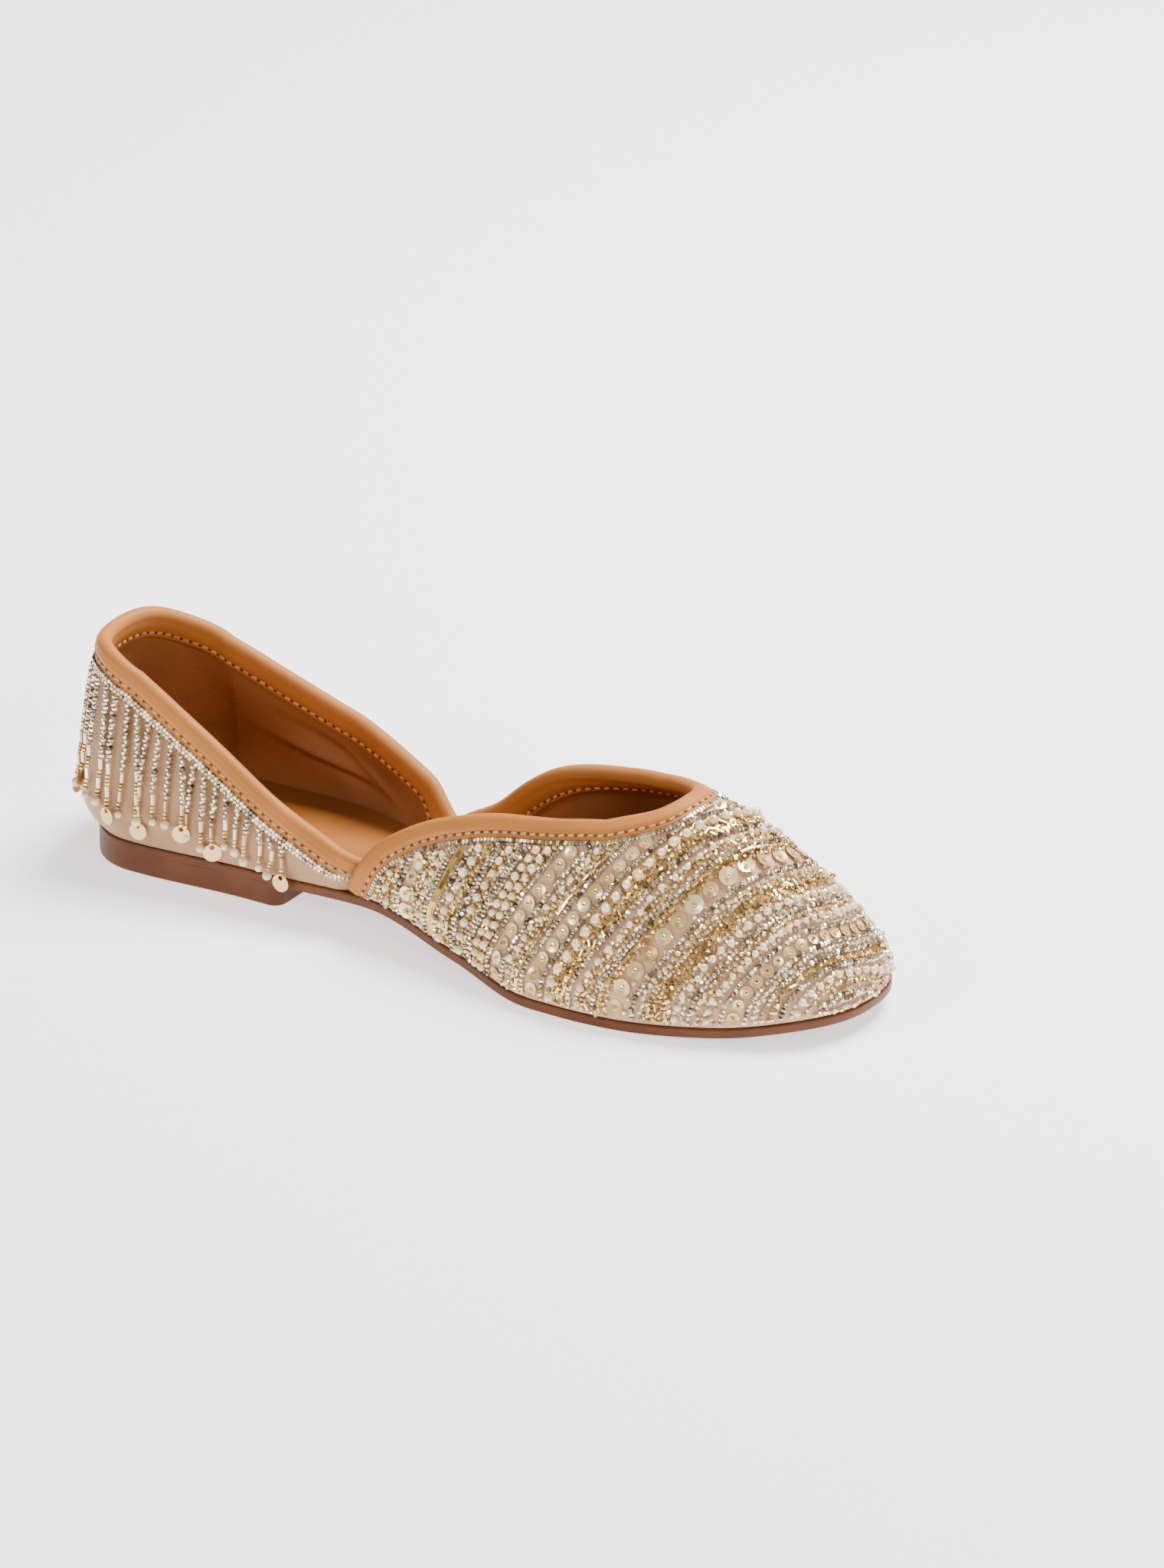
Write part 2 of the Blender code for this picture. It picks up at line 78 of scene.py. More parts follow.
# %% [markdown]
# ## The last
# Shoemakers build a shoe round a wooden last, and so do we. A point of the last's skin has two parameters:
# the signed distance round the sole's edge from the back of the heel (minus on the outer side), and the
# share of the way up the section from the edge to the ridge. The sizes and tables are the CAD part's own,
# so a finer mesh over the same skin covers the CAD solids. Two things differ: the counter's topline gets
# one more row, so that it can run on under the vamp's binding, and the heel block's front corners are
# sharper.

# %% Sizes and tables of the last
LENGTH = 0.2425
BALL_WIDTH = 0.083
CREST_HEIGHT = 0.060
BACK_HEIGHT = 0.051
HEEL_HEIGHT = 0.0062
SHANK_RISE = 0.0016
TOE_SPRING = 0.0050
SOLE_THICKNESS = 0.0027
INSOLE_THICKNESS = 0.0016
WALL = 0.0020
LEATHER = 0.0010
BAND = 0.0045
FACING = 0.0062
HEEL_SWELL = 0.0070
SIDE_SWELL = 0.0034
SWELL_HEIGHT = 0.0110
HEEL_LENGTH = 0.0690
HEEL_CORNER = 0.0035
SOLE_LIP = 0.0004
GAP = 0.0003
ROLL = WALL / 2 + GAP + LEATHER
ORIGIN = np.array([HEEL_LENGTH / 2, 0.0, 0.0])
HEEL_CENTRE = 0.087
TOE_CENTRE = 0.700
WAIST = (0.389, 0.404)
RIDGE_END = 0.700
HEEL_ROUND = 2.15
TOE_ROUND = (1.70, 2.50)
TIP_OFFSET = 0.046
SHOULDER = 2.05

# along, outer, inner: half widths; crest: ridge height; all shares
SECTIONS = (
    (0.087, 0.335, 0.312, 2.05),
    (0.247, 0.304, 0.321, 1.66),
    (0.402, 0.303, 0.208, 1.10),
    (0.547, 0.394, 0.323, 0.90),
    (0.670, 0.487, 0.513, 0.865),
)
# along, heel, shank, toe: the sole's side view
PROFILE = (
    (0.000, 1.00, 0.00, 0.00),
    (0.250, 1.00, 0.20, 0.00),
    (0.391, 1.00, 1.00, 0.00),
    (0.533, 0.40, 0.60, 0.00),
    (0.650, 0.00, 0.00, 0.00),
    (0.752, 0.00, 0.00, 0.00),
    (0.878, 0.00, 0.00, 0.34),
    (1.000, 0.00, 0.00, 1.00),
)
# along, outer, inner: the counter's topline, shares of BACK_HEIGHT
COLLAR = (
    (0.000, 1.010, 1.010),
    (0.031, 1.050, 0.900),
    (0.093, 0.930, 0.800),
    (0.175, 0.702, 0.660),
    (0.279, 0.396, 0.492),
    (0.381, 0.182, 0.325),
    (0.440, 0.030, 0.060),
)
# way from the waist to the toe's tip, outer, inner: the vamp's topline, shares of the way up
THROAT = (
    (0.000, 0.014, 0.020),
    (0.012, 0.041, 0.035),
    (0.043, 0.111, 0.070),
    (0.100, 0.193, 0.125),
    (0.182, 0.309, 0.280),
    (0.280, 0.426, 0.450),
    (0.394, 0.534, 0.570),
    (0.509, 0.608, 0.635),
    (0.640, 0.667, 0.680),
    (0.787, 0.712, 0.712),
    (1.000, 0.793, 0.793),
)


def curve(table, column, along):
    """Smooth curve through one column of a table: cubic pieces, level at both ends, no overshoot."""
    rows = np.array(table)
    x, y = rows[:, 0], rows[:, column]
    run, rise = np.diff(x), np.diff(y) / np.diff(x)
    slope = np.zeros(len(x))
    same = rise[:-1] * rise[1:] > 0
    mean = 2 * rise[:-1] * rise[1:] / np.where(same, rise[:-1] + rise[1:], 1)
    slope[1:-1] = np.where(same, mean, 0)
    along = np.clip(along, x[0], x[-1])
    k = np.clip(np.searchsorted(x, along, side="right") - 1, 0, len(run) - 1)
    t = (along - x[k]) / run[k]
    ends = y[k] * (1 + 2 * t) * (1 - t) ** 2 + y[k + 1] * (3 - 2 * t) * t ** 2
    return ends + run[k] * t * (1 - t) * (slope[k] * (1 - t) - slope[k + 1] * t)


def seat_height(x):
    """Height of the sole's top at a distance x from its back end."""
    along = x / LENGTH
    under = HEEL_HEIGHT * curve(PROFILE, 1, along) + SHANK_RISE * curve(PROFILE, 2, along)
    return SOLE_THICKNESS + GAP + under + TOE_SPRING * curve(PROFILE, 3, along)


def outline(along, inner):
    """Half width of the sole from above: the table's width, capped by a rounded end at heel and toe."""
    width = BALL_WIDTH * np.where(inner, curve(SECTIONS, 2, along), -curve(SECTIONS, 1, along))
    rear = np.clip((HEEL_CENTRE - along) / HEEL_CENTRE, 0, 1)
    front = np.clip((along - TOE_CENTRE) / (1 - TOE_CENTRE), 0, 1)
    tip = TIP_OFFSET * BALL_WIDTH * (front > 0)
    heel_cap = (1 - rear ** HEEL_ROUND) ** (1 / HEEL_ROUND)
    toe_cap = (1 - front ** TOE_ROUND[0]) ** (1 / TOE_ROUND[1])
    return tip + (width * heel_cap - tip) * toe_cap


# %% [markdown]
# The edge of the sole is measured once. Its length is added up on both sides from the heel's back, and the
# tables that come out turn a distance round the edge into a share along the sole and back.

# %% Measure the sole's edge
EDGE_ALONG = (1 - np.cos(np.linspace(0, np.pi, 2401))) / 2


def run_along(points):
    """Length of a line of points from its start to each of them."""
    return np.concatenate([[0], np.cumsum(np.linalg.norm(np.diff(points, axis=0), axis=1))])


def edge_run(inner):
    """Length of the sole's edge from the heel's back to each share along it."""
    return run_along(np.stack([EDGE_ALONG * LENGTH, outline(EDGE_ALONG, inner)], -1))


EDGE_OUTER, EDGE_INNER = edge_run(False), edge_run(True)
PERIMETER = EDGE_OUTER[-1] + EDGE_INNER[-1]


def wrapped(distance):
    """A distance that runs on past the toe's tip, as the signed distance on the other side."""
    return (np.asarray(distance) + EDGE_OUTER[-1]) % PERIMETER - EDGE_OUTER[-1]


def edge_distance(along, inner):
    """Signed distance round the edge: below zero on the outer side, above it on the inner."""
    outer_side = -np.interp(along, EDGE_ALONG, EDGE_OUTER)
    return np.where(inner, np.interp(along, EDGE_ALONG, EDGE_INNER), outer_side)


def along_of(distance):
    """Share along the sole of a signed distance round its edge."""
    distance = wrapped(distance)
    outer_side = np.interp(-distance, EDGE_OUTER, EDGE_ALONG)
    return np.where(distance > 0, np.interp(distance, EDGE_INNER, EDGE_ALONG), outer_side)


def crest(along):
    """Height of the ridge above the sole."""
    return CREST_HEIGHT * curve(SECTIONS, 3, along)


def swell(along, height):
    """Bulge of the wall past the sole's edge: none at the sole, full at SWELL_HEIGHT."""
    heel = np.clip(1 - (along / HEEL_CENTRE) ** 2, 0, 1)
    full = SIDE_SWELL + (HEEL_SWELL - SIDE_SWELL) * heel
    return full * (1 - np.clip(1 - height / SWELL_HEIGHT, 0, 1) ** 2)


def skin(distance, up, out=0.0):
    """Point of the last's skin: an arch from the sole's edge to the ridge, its height falling short of the
    ridge by the share left to the power SHOULDER. out moves it outwards."""
    distance, up = np.broadcast_arrays(np.asarray(distance, float), np.asarray(up, float))
    along = along_of(distance)
    edge_x, edge_y = along * LENGTH, outline(along, wrapped(distance) > 0)
    spine_x = np.clip(along, HEEL_CENTRE, RIDGE_END) * LENGTH
    reach = 1 - np.clip(up, 0, 1)
    height = (crest(along) + out) * (1 - reach ** SHOULDER)
    side = np.hypot(edge_x - spine_x, edge_y)
    share = reach * (side + out + swell(along, height)) / side
    x = spine_x + (edge_x - spine_x) * share
    return np.stack([x, edge_y * share, seat_height(np.clip(x, 0, LENGTH)) + height], -1)


def up_of(along, height):
    """Share of the way up a section at a height above the sole."""
    return 1 - (1 - np.clip(height / crest(along), 0, 1)) ** (1 / SHOULDER)


def unit(vectors):
    """Vectors of length one."""
    return vectors / np.maximum(np.linalg.norm(vectors, axis=-1, keepdims=True), 1e-12)


def partials(distance, up):
    """Directions in which the skin runs along the edge and up the section, by small differences."""
    ds, du = 1e-4, 1e-3
    low = np.clip(up - du / 2, 0, 1 - du)
    along = (skin(distance + ds, up) - skin(distance - ds, up)) / (2 * ds)
    return along, (skin(distance, low + du) - skin(distance, low)) / du


def outward(distance, up):
    """The skin's outward normal: the cross product of its two directions."""
    along, upward = partials(distance, up)
    return unit(np.cross(upward, along))


def walk(distance, up, width):
    """Carry a line on the skin sideways by a width, square to itself and along the skin."""
    tangent = unit(np.gradient(skin(distance, up), axis=0))
    steps = 4
    for _ in range(steps):
        along, upward = partials(distance, up)
        sideways = np.cross(unit(np.cross(upward, along)), tangent) * np.reshape(width, (-1, 1)) / steps
        aa, au, uu = (along ** 2).sum(-1), (along * upward).sum(-1), (upward ** 2).sum(-1)
        sa, su = (sideways * along).sum(-1), (sideways * upward).sum(-1)
        whole = aa * uu - au ** 2
        distance = distance + (sa * uu - su * au) / whole
        up = up + (su * aa - sa * au) / whole
    return distance, up


print("edge of the sole", round(PERIMETER / MM, 1), "mm round")

# %% [markdown]
# ## The two toplines
# The vamp's topline runs from the waist on the outer side over the throat to the waist on the inner side.
# The counter's runs from one waist round the heel to the other. Both are lines on the skin; points are
# spread evenly along them so that bindings, stitches and bead rows keep an even pace.


# %% Lines on the skin
LAP_START, LAP_END = -0.030, 0.024      # shares along the sole, from the waist
LAP_DEPTH = 0.0050


def throat_up(distance):
    """How far up its section the vamp reaches."""
    inner = wrapped(distance) > 0
    waist = np.where(inner, WAIST[1], WAIST[0])
    way = (along_of(distance) - waist) / (1 - waist)
    return np.where(inner, curve(THROAT, 2, way), curve(THROAT, 1, way))


def collar_up(distance):
    """How far up its section the heel counter reaches."""
    along = along_of(distance)
    height = np.where(distance > 0, curve(COLLAR, 2, along), curve(COLLAR, 1, along))
    return up_of(along, BACK_HEIGHT * height)


def even_line(distance, up, count, foot=0.0):
    """The same line with its points evenly spaced; foot weighs even spacing at the sole's edge."""
    run = run_along(skin(distance, up))
    below = np.abs(distance - distance[0])
    run = (1 - foot) * run / run[-1] + foot * below / below[-1]
    even = np.linspace(0, 1, count)
    return np.interp(even, run, distance), np.interp(even, run, up)


def eased(values, reach):
    """The values with a bell-shaped moving mean over a reach of points; both ends keep their place."""
    before, after = 2 * values[0] - values[reach:0:-1], 2 * values[-1] - values[-2:-reach - 2:-1]
    weight = np.exp(-(np.linspace(-2, 2, 2 * reach + 1)) ** 2)
    return np.convolve(np.concatenate([before, values, after]), weight / weight.sum(), "valid")


def throat_line(count, foot=0.5):
    """The vamp's topline, from the outer side over the throat to the inner side."""
    ends = edge_distance(WAIST[0], False), edge_distance(WAIST[1], True) - PERIMETER
    distance = np.linspace(*ends, 1600)
    distance, up = even_line(distance, throat_up(distance), 1600)
    return even_line(eased(distance, 70), eased(up, 70), count, foot)


def collar_line(count):
    """The counter's topline, from the outer side round the heel to the inner side. It ends under the vamp's
    binding, which laps over it."""
    ends = [edge_distance(WAIST[k] + LAP_END, k == 1) for k in range(2)]
    distance = np.linspace(*ends, 1600)
    distance, up = even_line(distance, collar_up(distance), 1600)
    return even_line(eased(distance, 90), eased(up, 90), count)


def tucked(distance):
    """How far the counter moves inwards to pass under the vamp: nothing until the lap starts."""
    waist = np.where(distance > 0, WAIST[1], WAIST[0])
    share = np.clip((along_of(distance) - waist - LAP_START) / (LAP_END - LAP_START), 0, 1)
    return -LAP_DEPTH * share * share * (3 - 2 * share)


for title, line in (("throat", throat_line(400)), ("collar", collar_line(400))):
    print(title, "line", round(run_along(skin(*line))[-1] / MM, 1), "mm")

# %% [markdown]
# ## Mesh helpers
# Surfaces are made as whole arrays of points and faces. A shell is two matching sheets of points, closed by
# a rim on its four borders. A plate is a stack of rings round the sole's edge with flat caps. A signed
# volume tells whether the faces look outwards, and turns them round if they don't. Edges sharper than
# CORNER_ANGLE stay sharp; all others are shaded smooth.


# %% Build meshes from arrays
CORNER_ANGLE = np.radians(50)


def volume(points, faces):
    """Six times the signed volume inside a closed mesh of four-sided faces."""
    a, b, c, d = (points[faces[:, k]] for k in range(4))
    return (np.cross(a, b) * c).sum() + (np.cross(a, c) * d).sum()


def mesh_object(name, points, faces, finish, weld=0.0):
    """One smooth mesh from an array of points and an array of four-sided faces, turned to face outwards."""
    if volume(points, faces) < 0:
        faces = faces[:, ::-1]
    mesh = bpy.data.meshes.new(name)
    mesh.vertices.add(len(points))
    mesh.vertices.foreach_set("co", np.ascontiguousarray(points, np.float32).ravel())
    mesh.loops.add(faces.size)
    mesh.loops.foreach_set("vertex_index", np.ascontiguousarray(faces, np.int32).ravel())
    mesh.polygons.add(len(faces))
    mesh.polygons.foreach_set("loop_start", np.arange(0, faces.size, 4, dtype=np.int32))
    mesh.update(calc_edges=True)
    if weld:
        body = bmesh.new()
        body.from_mesh(mesh)
        bmesh.ops.remove_doubles(body, verts=body.verts, dist=weld)
        bmesh.ops.dissolve_degenerate(body, edges=body.edges, dist=weld)
        body.to_mesh(mesh)
        body.free()
    mesh.shade_smooth()
    mesh.set_sharp_from_angle(angle=CORNER_ANGLE)
    mesh.materials.append(finish)
    piece = bpy.data.objects.new(name, mesh)
    bpy.context.scene.collection.objects.link(piece)
    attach(piece, "root")
    return piece


def grid_faces(rows, columns, wrap=False):
    """Four-sided faces of a grid of points, row after row; wrap joins the last column to the first."""
    j = np.arange(columns if wrap else columns - 1)
    i = np.arange(rows - 1)[:, None] * columns
    after = (j + 1) % columns
    return np.stack([i + j, i + after, i + columns + after, i + columns + j], -1).reshape(-1, 4)


def shell(name, outer, inner, finish, slot):
    """A closed wall between two matching grids of points, with a rim along its four borders."""
    rows, columns = outer.shape[:2]
    number = rows * columns
    sheet = grid_faces(rows, columns)
    index = np.arange(number).reshape(rows, columns)
    loop = np.concatenate([index[0], index[1:, -1], index[-1, -2::-1], index[-2:0:-1, 0]])
    after = np.roll(loop, -1)
    rim = np.stack([after, loop, loop + number, after + number], -1)
    faces = np.concatenate([sheet, sheet[:, ::-1] + number, rim])
    points = np.concatenate([outer.reshape(-1, 3), inner.reshape(-1, 3)]) - ORIGIN
    return mesh_object(name, points, faces, finish)


def edge_ring(along, inset, level, rise=0.0):
    """A closed ring round the sole's edge: set in, at a rise above the level of each place along x."""
    loop = []
    for inner in (False, True):
        distance = edge_distance(along, inner)
        ends = []
        for step in (-1e-6, 1e-6):
            there = wrapped(distance + step)
            share = along_of(there)
            ends.append(np.stack([share * LENGTH, outline(share, there > 0)], -1))
        tangent = unit(ends[1] - ends[0])
        point = np.stack([along * LENGTH, outline(along, inner)], -1)
        point = point + inset * np.stack([tangent[:, 1], -tangent[:, 0]], -1)
        side = np.concatenate([point, level(point[:, :1]) + rise], -1)
        loop.append(side[::-1] if inner else side)
    return np.concatenate(loop)


def plate(name, rings, finish):
    """A closed plate from a stack of rings, lowest first, capped by strips from side to side."""
    rings = np.array(rings)
    levels, around = rings.shape[:2]
    k = np.arange(around // 2 - 1)
    cap = np.stack([k, around - 1 - k, around - 2 - k, k + 1], -1)
    top = (levels - 1) * around
    faces = np.concatenate([grid_faces(levels, around, wrap=True), cap, cap[:, ::-1] + top])
    return mesh_object(name, rings.reshape(-1, 3) - ORIGIN, faces, finish, weld=1e-6)


# %% [markdown]
# ## Finishes
# Leather shows a fine pebble grain and slow changes of tone where hands and the last have rubbed it. Satin
# is a close weave whose long floats catch the light as a soft sheen. All textures are computed from the
# object's own coordinates in metres, so they have real size and stay on the piece.


# %% Leather, satin, sole
def finish_of(name, tones, roughness, noise_scale, bump_scale, bump_depth, **inputs):
    """A finish whose tone drifts between two colours with a slow noise, with a fine bump on top."""
    finish = bpy.data.materials.new(name)
    finish.use_nodes = True
    nodes, links = finish.node_tree.nodes, finish.node_tree.links
    shader = nodes["Principled BSDF"]
    place = nodes.new("ShaderNodeTexCoord")
    drift = nodes.new("ShaderNodeTexNoise")
    drift.inputs["Scale"].default_value = noise_scale
    drift.inputs["Detail"].default_value = 4
    links.new(place.outputs["Object"], drift.inputs["Vector"])
    ramp = nodes.new("ShaderNodeValToRGB")
    ramp.color_ramp.elements[0].position, ramp.color_ramp.elements[1].position = 0.3, 0.7
    ramp.color_ramp.elements[0].color = (*tones[0], 1)
    ramp.color_ramp.elements[1].color = (*tones[1], 1)
    links.new(drift.outputs["Fac"], ramp.inputs["Fac"])
    links.new(ramp.outputs["Color"], shader.inputs["Base Color"])
    grain = nodes.new("ShaderNodeTexVoronoi")
    grain.inputs["Scale"].default_value = bump_scale
    links.new(place.outputs["Object"], grain.inputs["Vector"])
    bump = nodes.new("ShaderNodeBump")
    bump.inputs["Strength"].default_value = 0.35
    bump.inputs["Distance"].default_value = bump_depth
    links.new(grain.outputs["Distance"], bump.inputs["Height"])
    links.new(bump.outputs["Normal"], shader.inputs["Normal"])
    shader.inputs["Roughness"].default_value = roughness
    for key, value in inputs.items():
        shader.inputs[key.replace("_", " ").title().replace("Ior", "IOR")].default_value = value
    return finish


BINDING_TONES = (0.40, 0.142, 0.028), (0.47, 0.175, 0.038)
LINING_TONES = (0.25, 0.096, 0.030), (0.33, 0.132, 0.043)
INSOLE_TONES = (0.31, 0.108, 0.022), (0.365, 0.133, 0.030)
SOLE_TONES = (0.095, 0.024, 0.003), (0.140, 0.038, 0.006)
binding_leather = finish_of("binding_leather", BINDING_TONES, 0.52, 45, 1900, 5e-5, specular_ior_level=0.16)
lining_leather = finish_of("lining_leather", LINING_TONES, 0.5, 38, 1700, 6e-5, specular_ior_level=0.2)
insole_leather = finish_of("insole_leather", INSOLE_TONES, 0.5, 40, 1500, 4e-5, specular_ior_level=0.12)
sole_rubber = finish_of("sole_rubber", SOLE_TONES, 0.45, 60, 900, 5e-5, specular_ior_level=0.3)
print("materials", len(bpy.data.materials))


# %% [markdown]
# Satin gets its own finish. Two sets of very fine ridges cross each other: one for the warp, one for the
# weft, half a millimetre apart. The shader's sheen adds the pale rim of light that silk-like cloth shows
# where it turns away from the eye. The vamp's cloth keeps the satin's own lighter tone; the counter's satin
# is darker, partly its own blush and partly painted shade for the shadow between the fringe's strings.


# %% Satin
def satin_finish(name, tones):
    """Blush satin: crossing ridges of a close weave, uneven tone, sheen."""
    finish = finish_of(name, tones, 0.40, 55, 4200, 2e-5,
                       sheen_weight=0.12, sheen_roughness=0.35, specular_ior_level=0.3)
    nodes, links = finish.node_tree.nodes, finish.node_tree.links
    place = nodes["Texture Coordinate"]
    normal = nodes["Bump"]
    for direction in ("X", "Z"):
        weave = nodes.new("ShaderNodeTexWave")
        weave.bands_direction = direction
        weave.inputs["Scale"].default_value = 640
        weave.inputs["Distortion"].default_value = 1.2
        weave.inputs["Detail"].default_value = 1
        links.new(place.outputs["Object"], weave.inputs["Vector"])
        bump = nodes.new("ShaderNodeBump")
        bump.inputs["Strength"].default_value = 0.25
        bump.inputs["Distance"].default_value = 3e-5
        links.new(weave.outputs["Fac"], bump.inputs["Height"])
        links.new(normal.outputs["Normal"], bump.inputs["Normal"])
        normal = bump
    links.new(normal.outputs["Normal"], nodes["Principled BSDF"].inputs["Normal"])
    return finish


# the counter's tones: its own blush colour darkened by painted shade for the shadow under the fringe
blush_satin = satin_finish("blush_satin", ((0.385, 0.206, 0.100), (0.475, 0.263, 0.138)))
vamp_satin = satin_finish("vamp_satin", ((0.58, 0.345, 0.205), (0.68, 0.42, 0.26)))

# %% [markdown]
# ## Floor and light
# The picture is a white studio shot. The broad main light stands above and behind the shoe, so that its
# inside is dark and its shadow falls to the front; a weaker one stands in front and another past the toe.
# The pale floor runs out of the picture and glows a little, as a white table lit from below does.


# %% Stage
def area_light(name, place, aim, size, power):
    """A square soft light at a place, turned to look at the aim."""
    data = bpy.data.lights.new(name, "AREA")
    data.size, data.energy = size, power
    lamp = bpy.data.objects.new(name, data)
    bpy.context.scene.collection.objects.link(lamp)
    look = unit(np.array(place) - np.array(aim))
    side = unit(np.cross((0.0, 1.0, 0.02), look))
    spot = np.eye(4)
    spot[:3, :3] = np.stack([side, np.cross(look, side), look], -1)
    spot[:3, 3] = place
    lamp.matrix_world = spot.T
    return lamp


FLOOR = 9.0                     # half the floor's side
corners = np.array([(-1, -1, 0), (1, -1, 0), (1, 1, 0), (-1, 1, 0)]) * FLOOR
floor_mesh = bpy.data.meshes.new("floor")
floor_mesh.from_pydata(corners.tolist(), [], [(0, 1, 2, 3)])
floor_paper = finish_of("floor_paper", ((0.84, 0.84, 0.845), (0.86, 0.86, 0.86)), 0.6, 3, 300, 1e-5,
                        emission_color=(1, 1, 1, 1), emission_strength=1.2)
floor_mesh.materials.append(floor_paper)
floor = bpy.data.objects.new("floor", floor_mesh)
floor.location = (0, 0, -0.0001)
bpy.context.scene.collection.objects.link(floor)
middle = (0.1, 0, 0.03)
lights = [
    area_light("above", (0.25, 0.72, 1.32), middle, 0.8, 76),
    area_light("front_left", (-0.7, -1.5, 1.1), middle, 0.4, 13),
    area_light("right_side", (1.3, -0.7, 0.9), middle, 0.4, 9),
]
world = bpy.data.worlds.new("studio")
world.use_nodes = True
world.node_tree.nodes["Background"].inputs["Color"].default_value = (1, 1, 1, 1)
world.node_tree.nodes["Background"].inputs["Strength"].default_value = 0.16
bpy.context.scene.world = world
print("lights", [lamp.name for lamp in lights])

# %% [markdown]
# ## Sole, heel block and insole
# The sole is one moulded plate with a low heel block under it. Its edge is trimmed and burnished, so it is
# slightly rounded and a little proud of the upper. The insole is a thin board covered in the lining's
# leather; it fills the floor of the shoe from wall to wall.


# %% Sole and heel
ROUND = 0.0007                  # the worn edge of the sole's top and of the heel's foot
FINE_ROUND = 0.0001             # the sole's lower edge, sharp so that the heel's joint stays closed
INSOLE_ROUND = 0.0005
turn = np.linspace(0, np.pi / 2, 5)


def sole_top(x):
    """Height of the sole's top."""
    return seat_height(np.clip(x, 0, LENGTH))


def under_sole(x):
    """Height of the sole's underside."""
    return sole_top(x) - GAP - SOLE_THICKNESS


def ground(x):
    """Height of the floor."""
    return np.zeros_like(x)


def even_stations(count, start=0.0, end=1.0):
    """Shares along the sole, evenly spaced round its edge so that both ends stay round."""
    return along_of(np.linspace(edge_distance(start, True), edge_distance(end, True) - 1e-9, count))


def lower_edge(along, level, size):
    """Rings of a round lower edge, from the underside out to the side."""
    return [edge_ring(along, size * (1 - np.sin(t)) - SOLE_LIP, level, size * (1 - np.cos(t))) for t in turn]


stations = even_stations(260)
side_top = SOLE_THICKNESS - ROUND
rings = lower_edge(stations, under_sole, FINE_ROUND)
rings += [edge_ring(stations, ROUND * (1 - np.cos(t)) - SOLE_LIP, under_sole, side_top + ROUND * np.sin(t))
          for t in turn]
sole_piece = plate("sole_plate", rings, sole_rubber)
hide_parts("outsole")

straight = even_stations(110, 0, (HEEL_LENGTH - HEEL_CORNER) / LENGTH)
corner_turn = np.linspace(0, np.pi / 2, 12)[1:]
corner = (HEEL_LENGTH - HEEL_CORNER + HEEL_CORNER * np.sin(corner_turn)) / LENGTH
heel_along = np.concatenate([straight, corner])
narrow = np.concatenate([np.zeros(len(straight)), HEEL_CORNER * (1 - np.cos(corner_turn))])
narrow = np.concatenate([narrow, -narrow[::-1]])
rings = lower_edge(heel_along, ground, ROUND)
rings += [edge_ring(heel_along, -SOLE_LIP, under_sole, GAP)]
for ring in rings:
    ring[:, 1] += narrow
heel_piece = plate("heel_lift", rings, sole_rubber)
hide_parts("heel_block")

rings = [edge_ring(stations, WALL + GAP + back_by, sole_top, rise) for back_by, rise in
         ((0.0, 0.0), (0.0, INSOLE_THICKNESS - 0.8 * INSOLE_ROUND), (INSOLE_ROUND, INSOLE_THICKNESS))]
insole_piece = plate("insole_board", rings, insole_leather)
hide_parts("insole")
print("sole", len(sole_piece.data.polygons), "faces; heel", len(heel_piece.data.polygons), "faces")

# %% [markdown]
# ## The walls
# Vamp and counter are two layers: satin outside and leather lining inside. Each layer is its own thin
# shell, so each has its own finish and both can be seen where they should be. Cloth drawn over a last is
# never quite even: the counter's lining has soft folds near the waist on the inner side, where the foot
# bends it, and the satin ripples a little above the heel. They are placed one by one as low ridges and
# troughs.

# %% Creases placed one by one
# distance round the edge, height above the sole, half length, half width, turn in degrees, rise; metres
CREASES = (
    (0.066, 0.0125, 0.0170, 0.0017, -14, -0.0015),
    (0.069, 0.0170, 0.0160, 0.0022, -17, 0.0011),
    (0.075, 0.0085, 0.0120, 0.0016, -12, 0.0010),
    (0.083, 0.0115, 0.0110, 0.0015, -30, -0.0010),
    (-0.045, 0.0100, 0.0150, 0.0020, 8, 0.0006),
    (-0.066, 0.0075, 0.0140, 0.0018, 5, 0.0005),
    (-0.014, 0.0095, 0.0110, 0.0020, -10, 0.0006),
    (0.022, 0.0105, 0.0120, 0.0022, 10, 0.0005),
)


def creased(distance, up):
    """How far the creases move the skin: each is a long, narrow hump with a round cross-section."""
    tall = crest(along_of(distance)) * (1 - (1 - up) ** SHOULDER)
    moved = np.zeros(tall.shape)
    for place, height, long, wide, turned_by, rise in CREASES:
        a = np.radians(turned_by)
        along, climb = distance - place, tall - height
        lengthwise = along * np.cos(a) + climb * np.sin(a)
        sideways = climb * np.cos(a) - along * np.sin(a)
        moved = moved + rise * np.exp(-(lengthwise / long) ** 2 - (sideways / wide) ** 2)
    return moved


def wall(name, line, rows, offs, finish, slot, lap):
    """A layer of the wall: columns stand on the sole's edge and climb to the topline in crowded rows."""
    distance, top = line
    up = top * np.linspace(0, 1, rows)[:, None] ** 1.3
    fade = np.sin(np.pi * np.clip(up / top, 0, 1)) ** 0.5
    sheets = [skin(distance, up, off + lap + creased(distance, up) * fade) for off in offs]
    return shell(name, *sheets, finish, slot)


CLOTH = 0.0, -0.0009            # the outer and inner face of each layer, off the skin
LINING = -0.0011, -WALL
throat_top, collar = throat_line(320), collar_line(320)
tuck_in = tucked(collar[0])
vamp_cloth = wall("vamp_cloth", throat_top, 44, CLOTH, vamp_satin, "satin", 0)
vamp_lining = wall("vamp_lining", throat_top, 44, LINING, lining_leather, "leather", 0)
quarter_cloth = wall("quarter_satin", collar, 60, CLOTH, blush_satin, "satin", tuck_in)
quarter_lining = wall("quarter_lining", collar, 60, LINING, lining_leather, "leather", tuck_in)
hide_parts("upper_vamp")
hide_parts("upper_quarter")

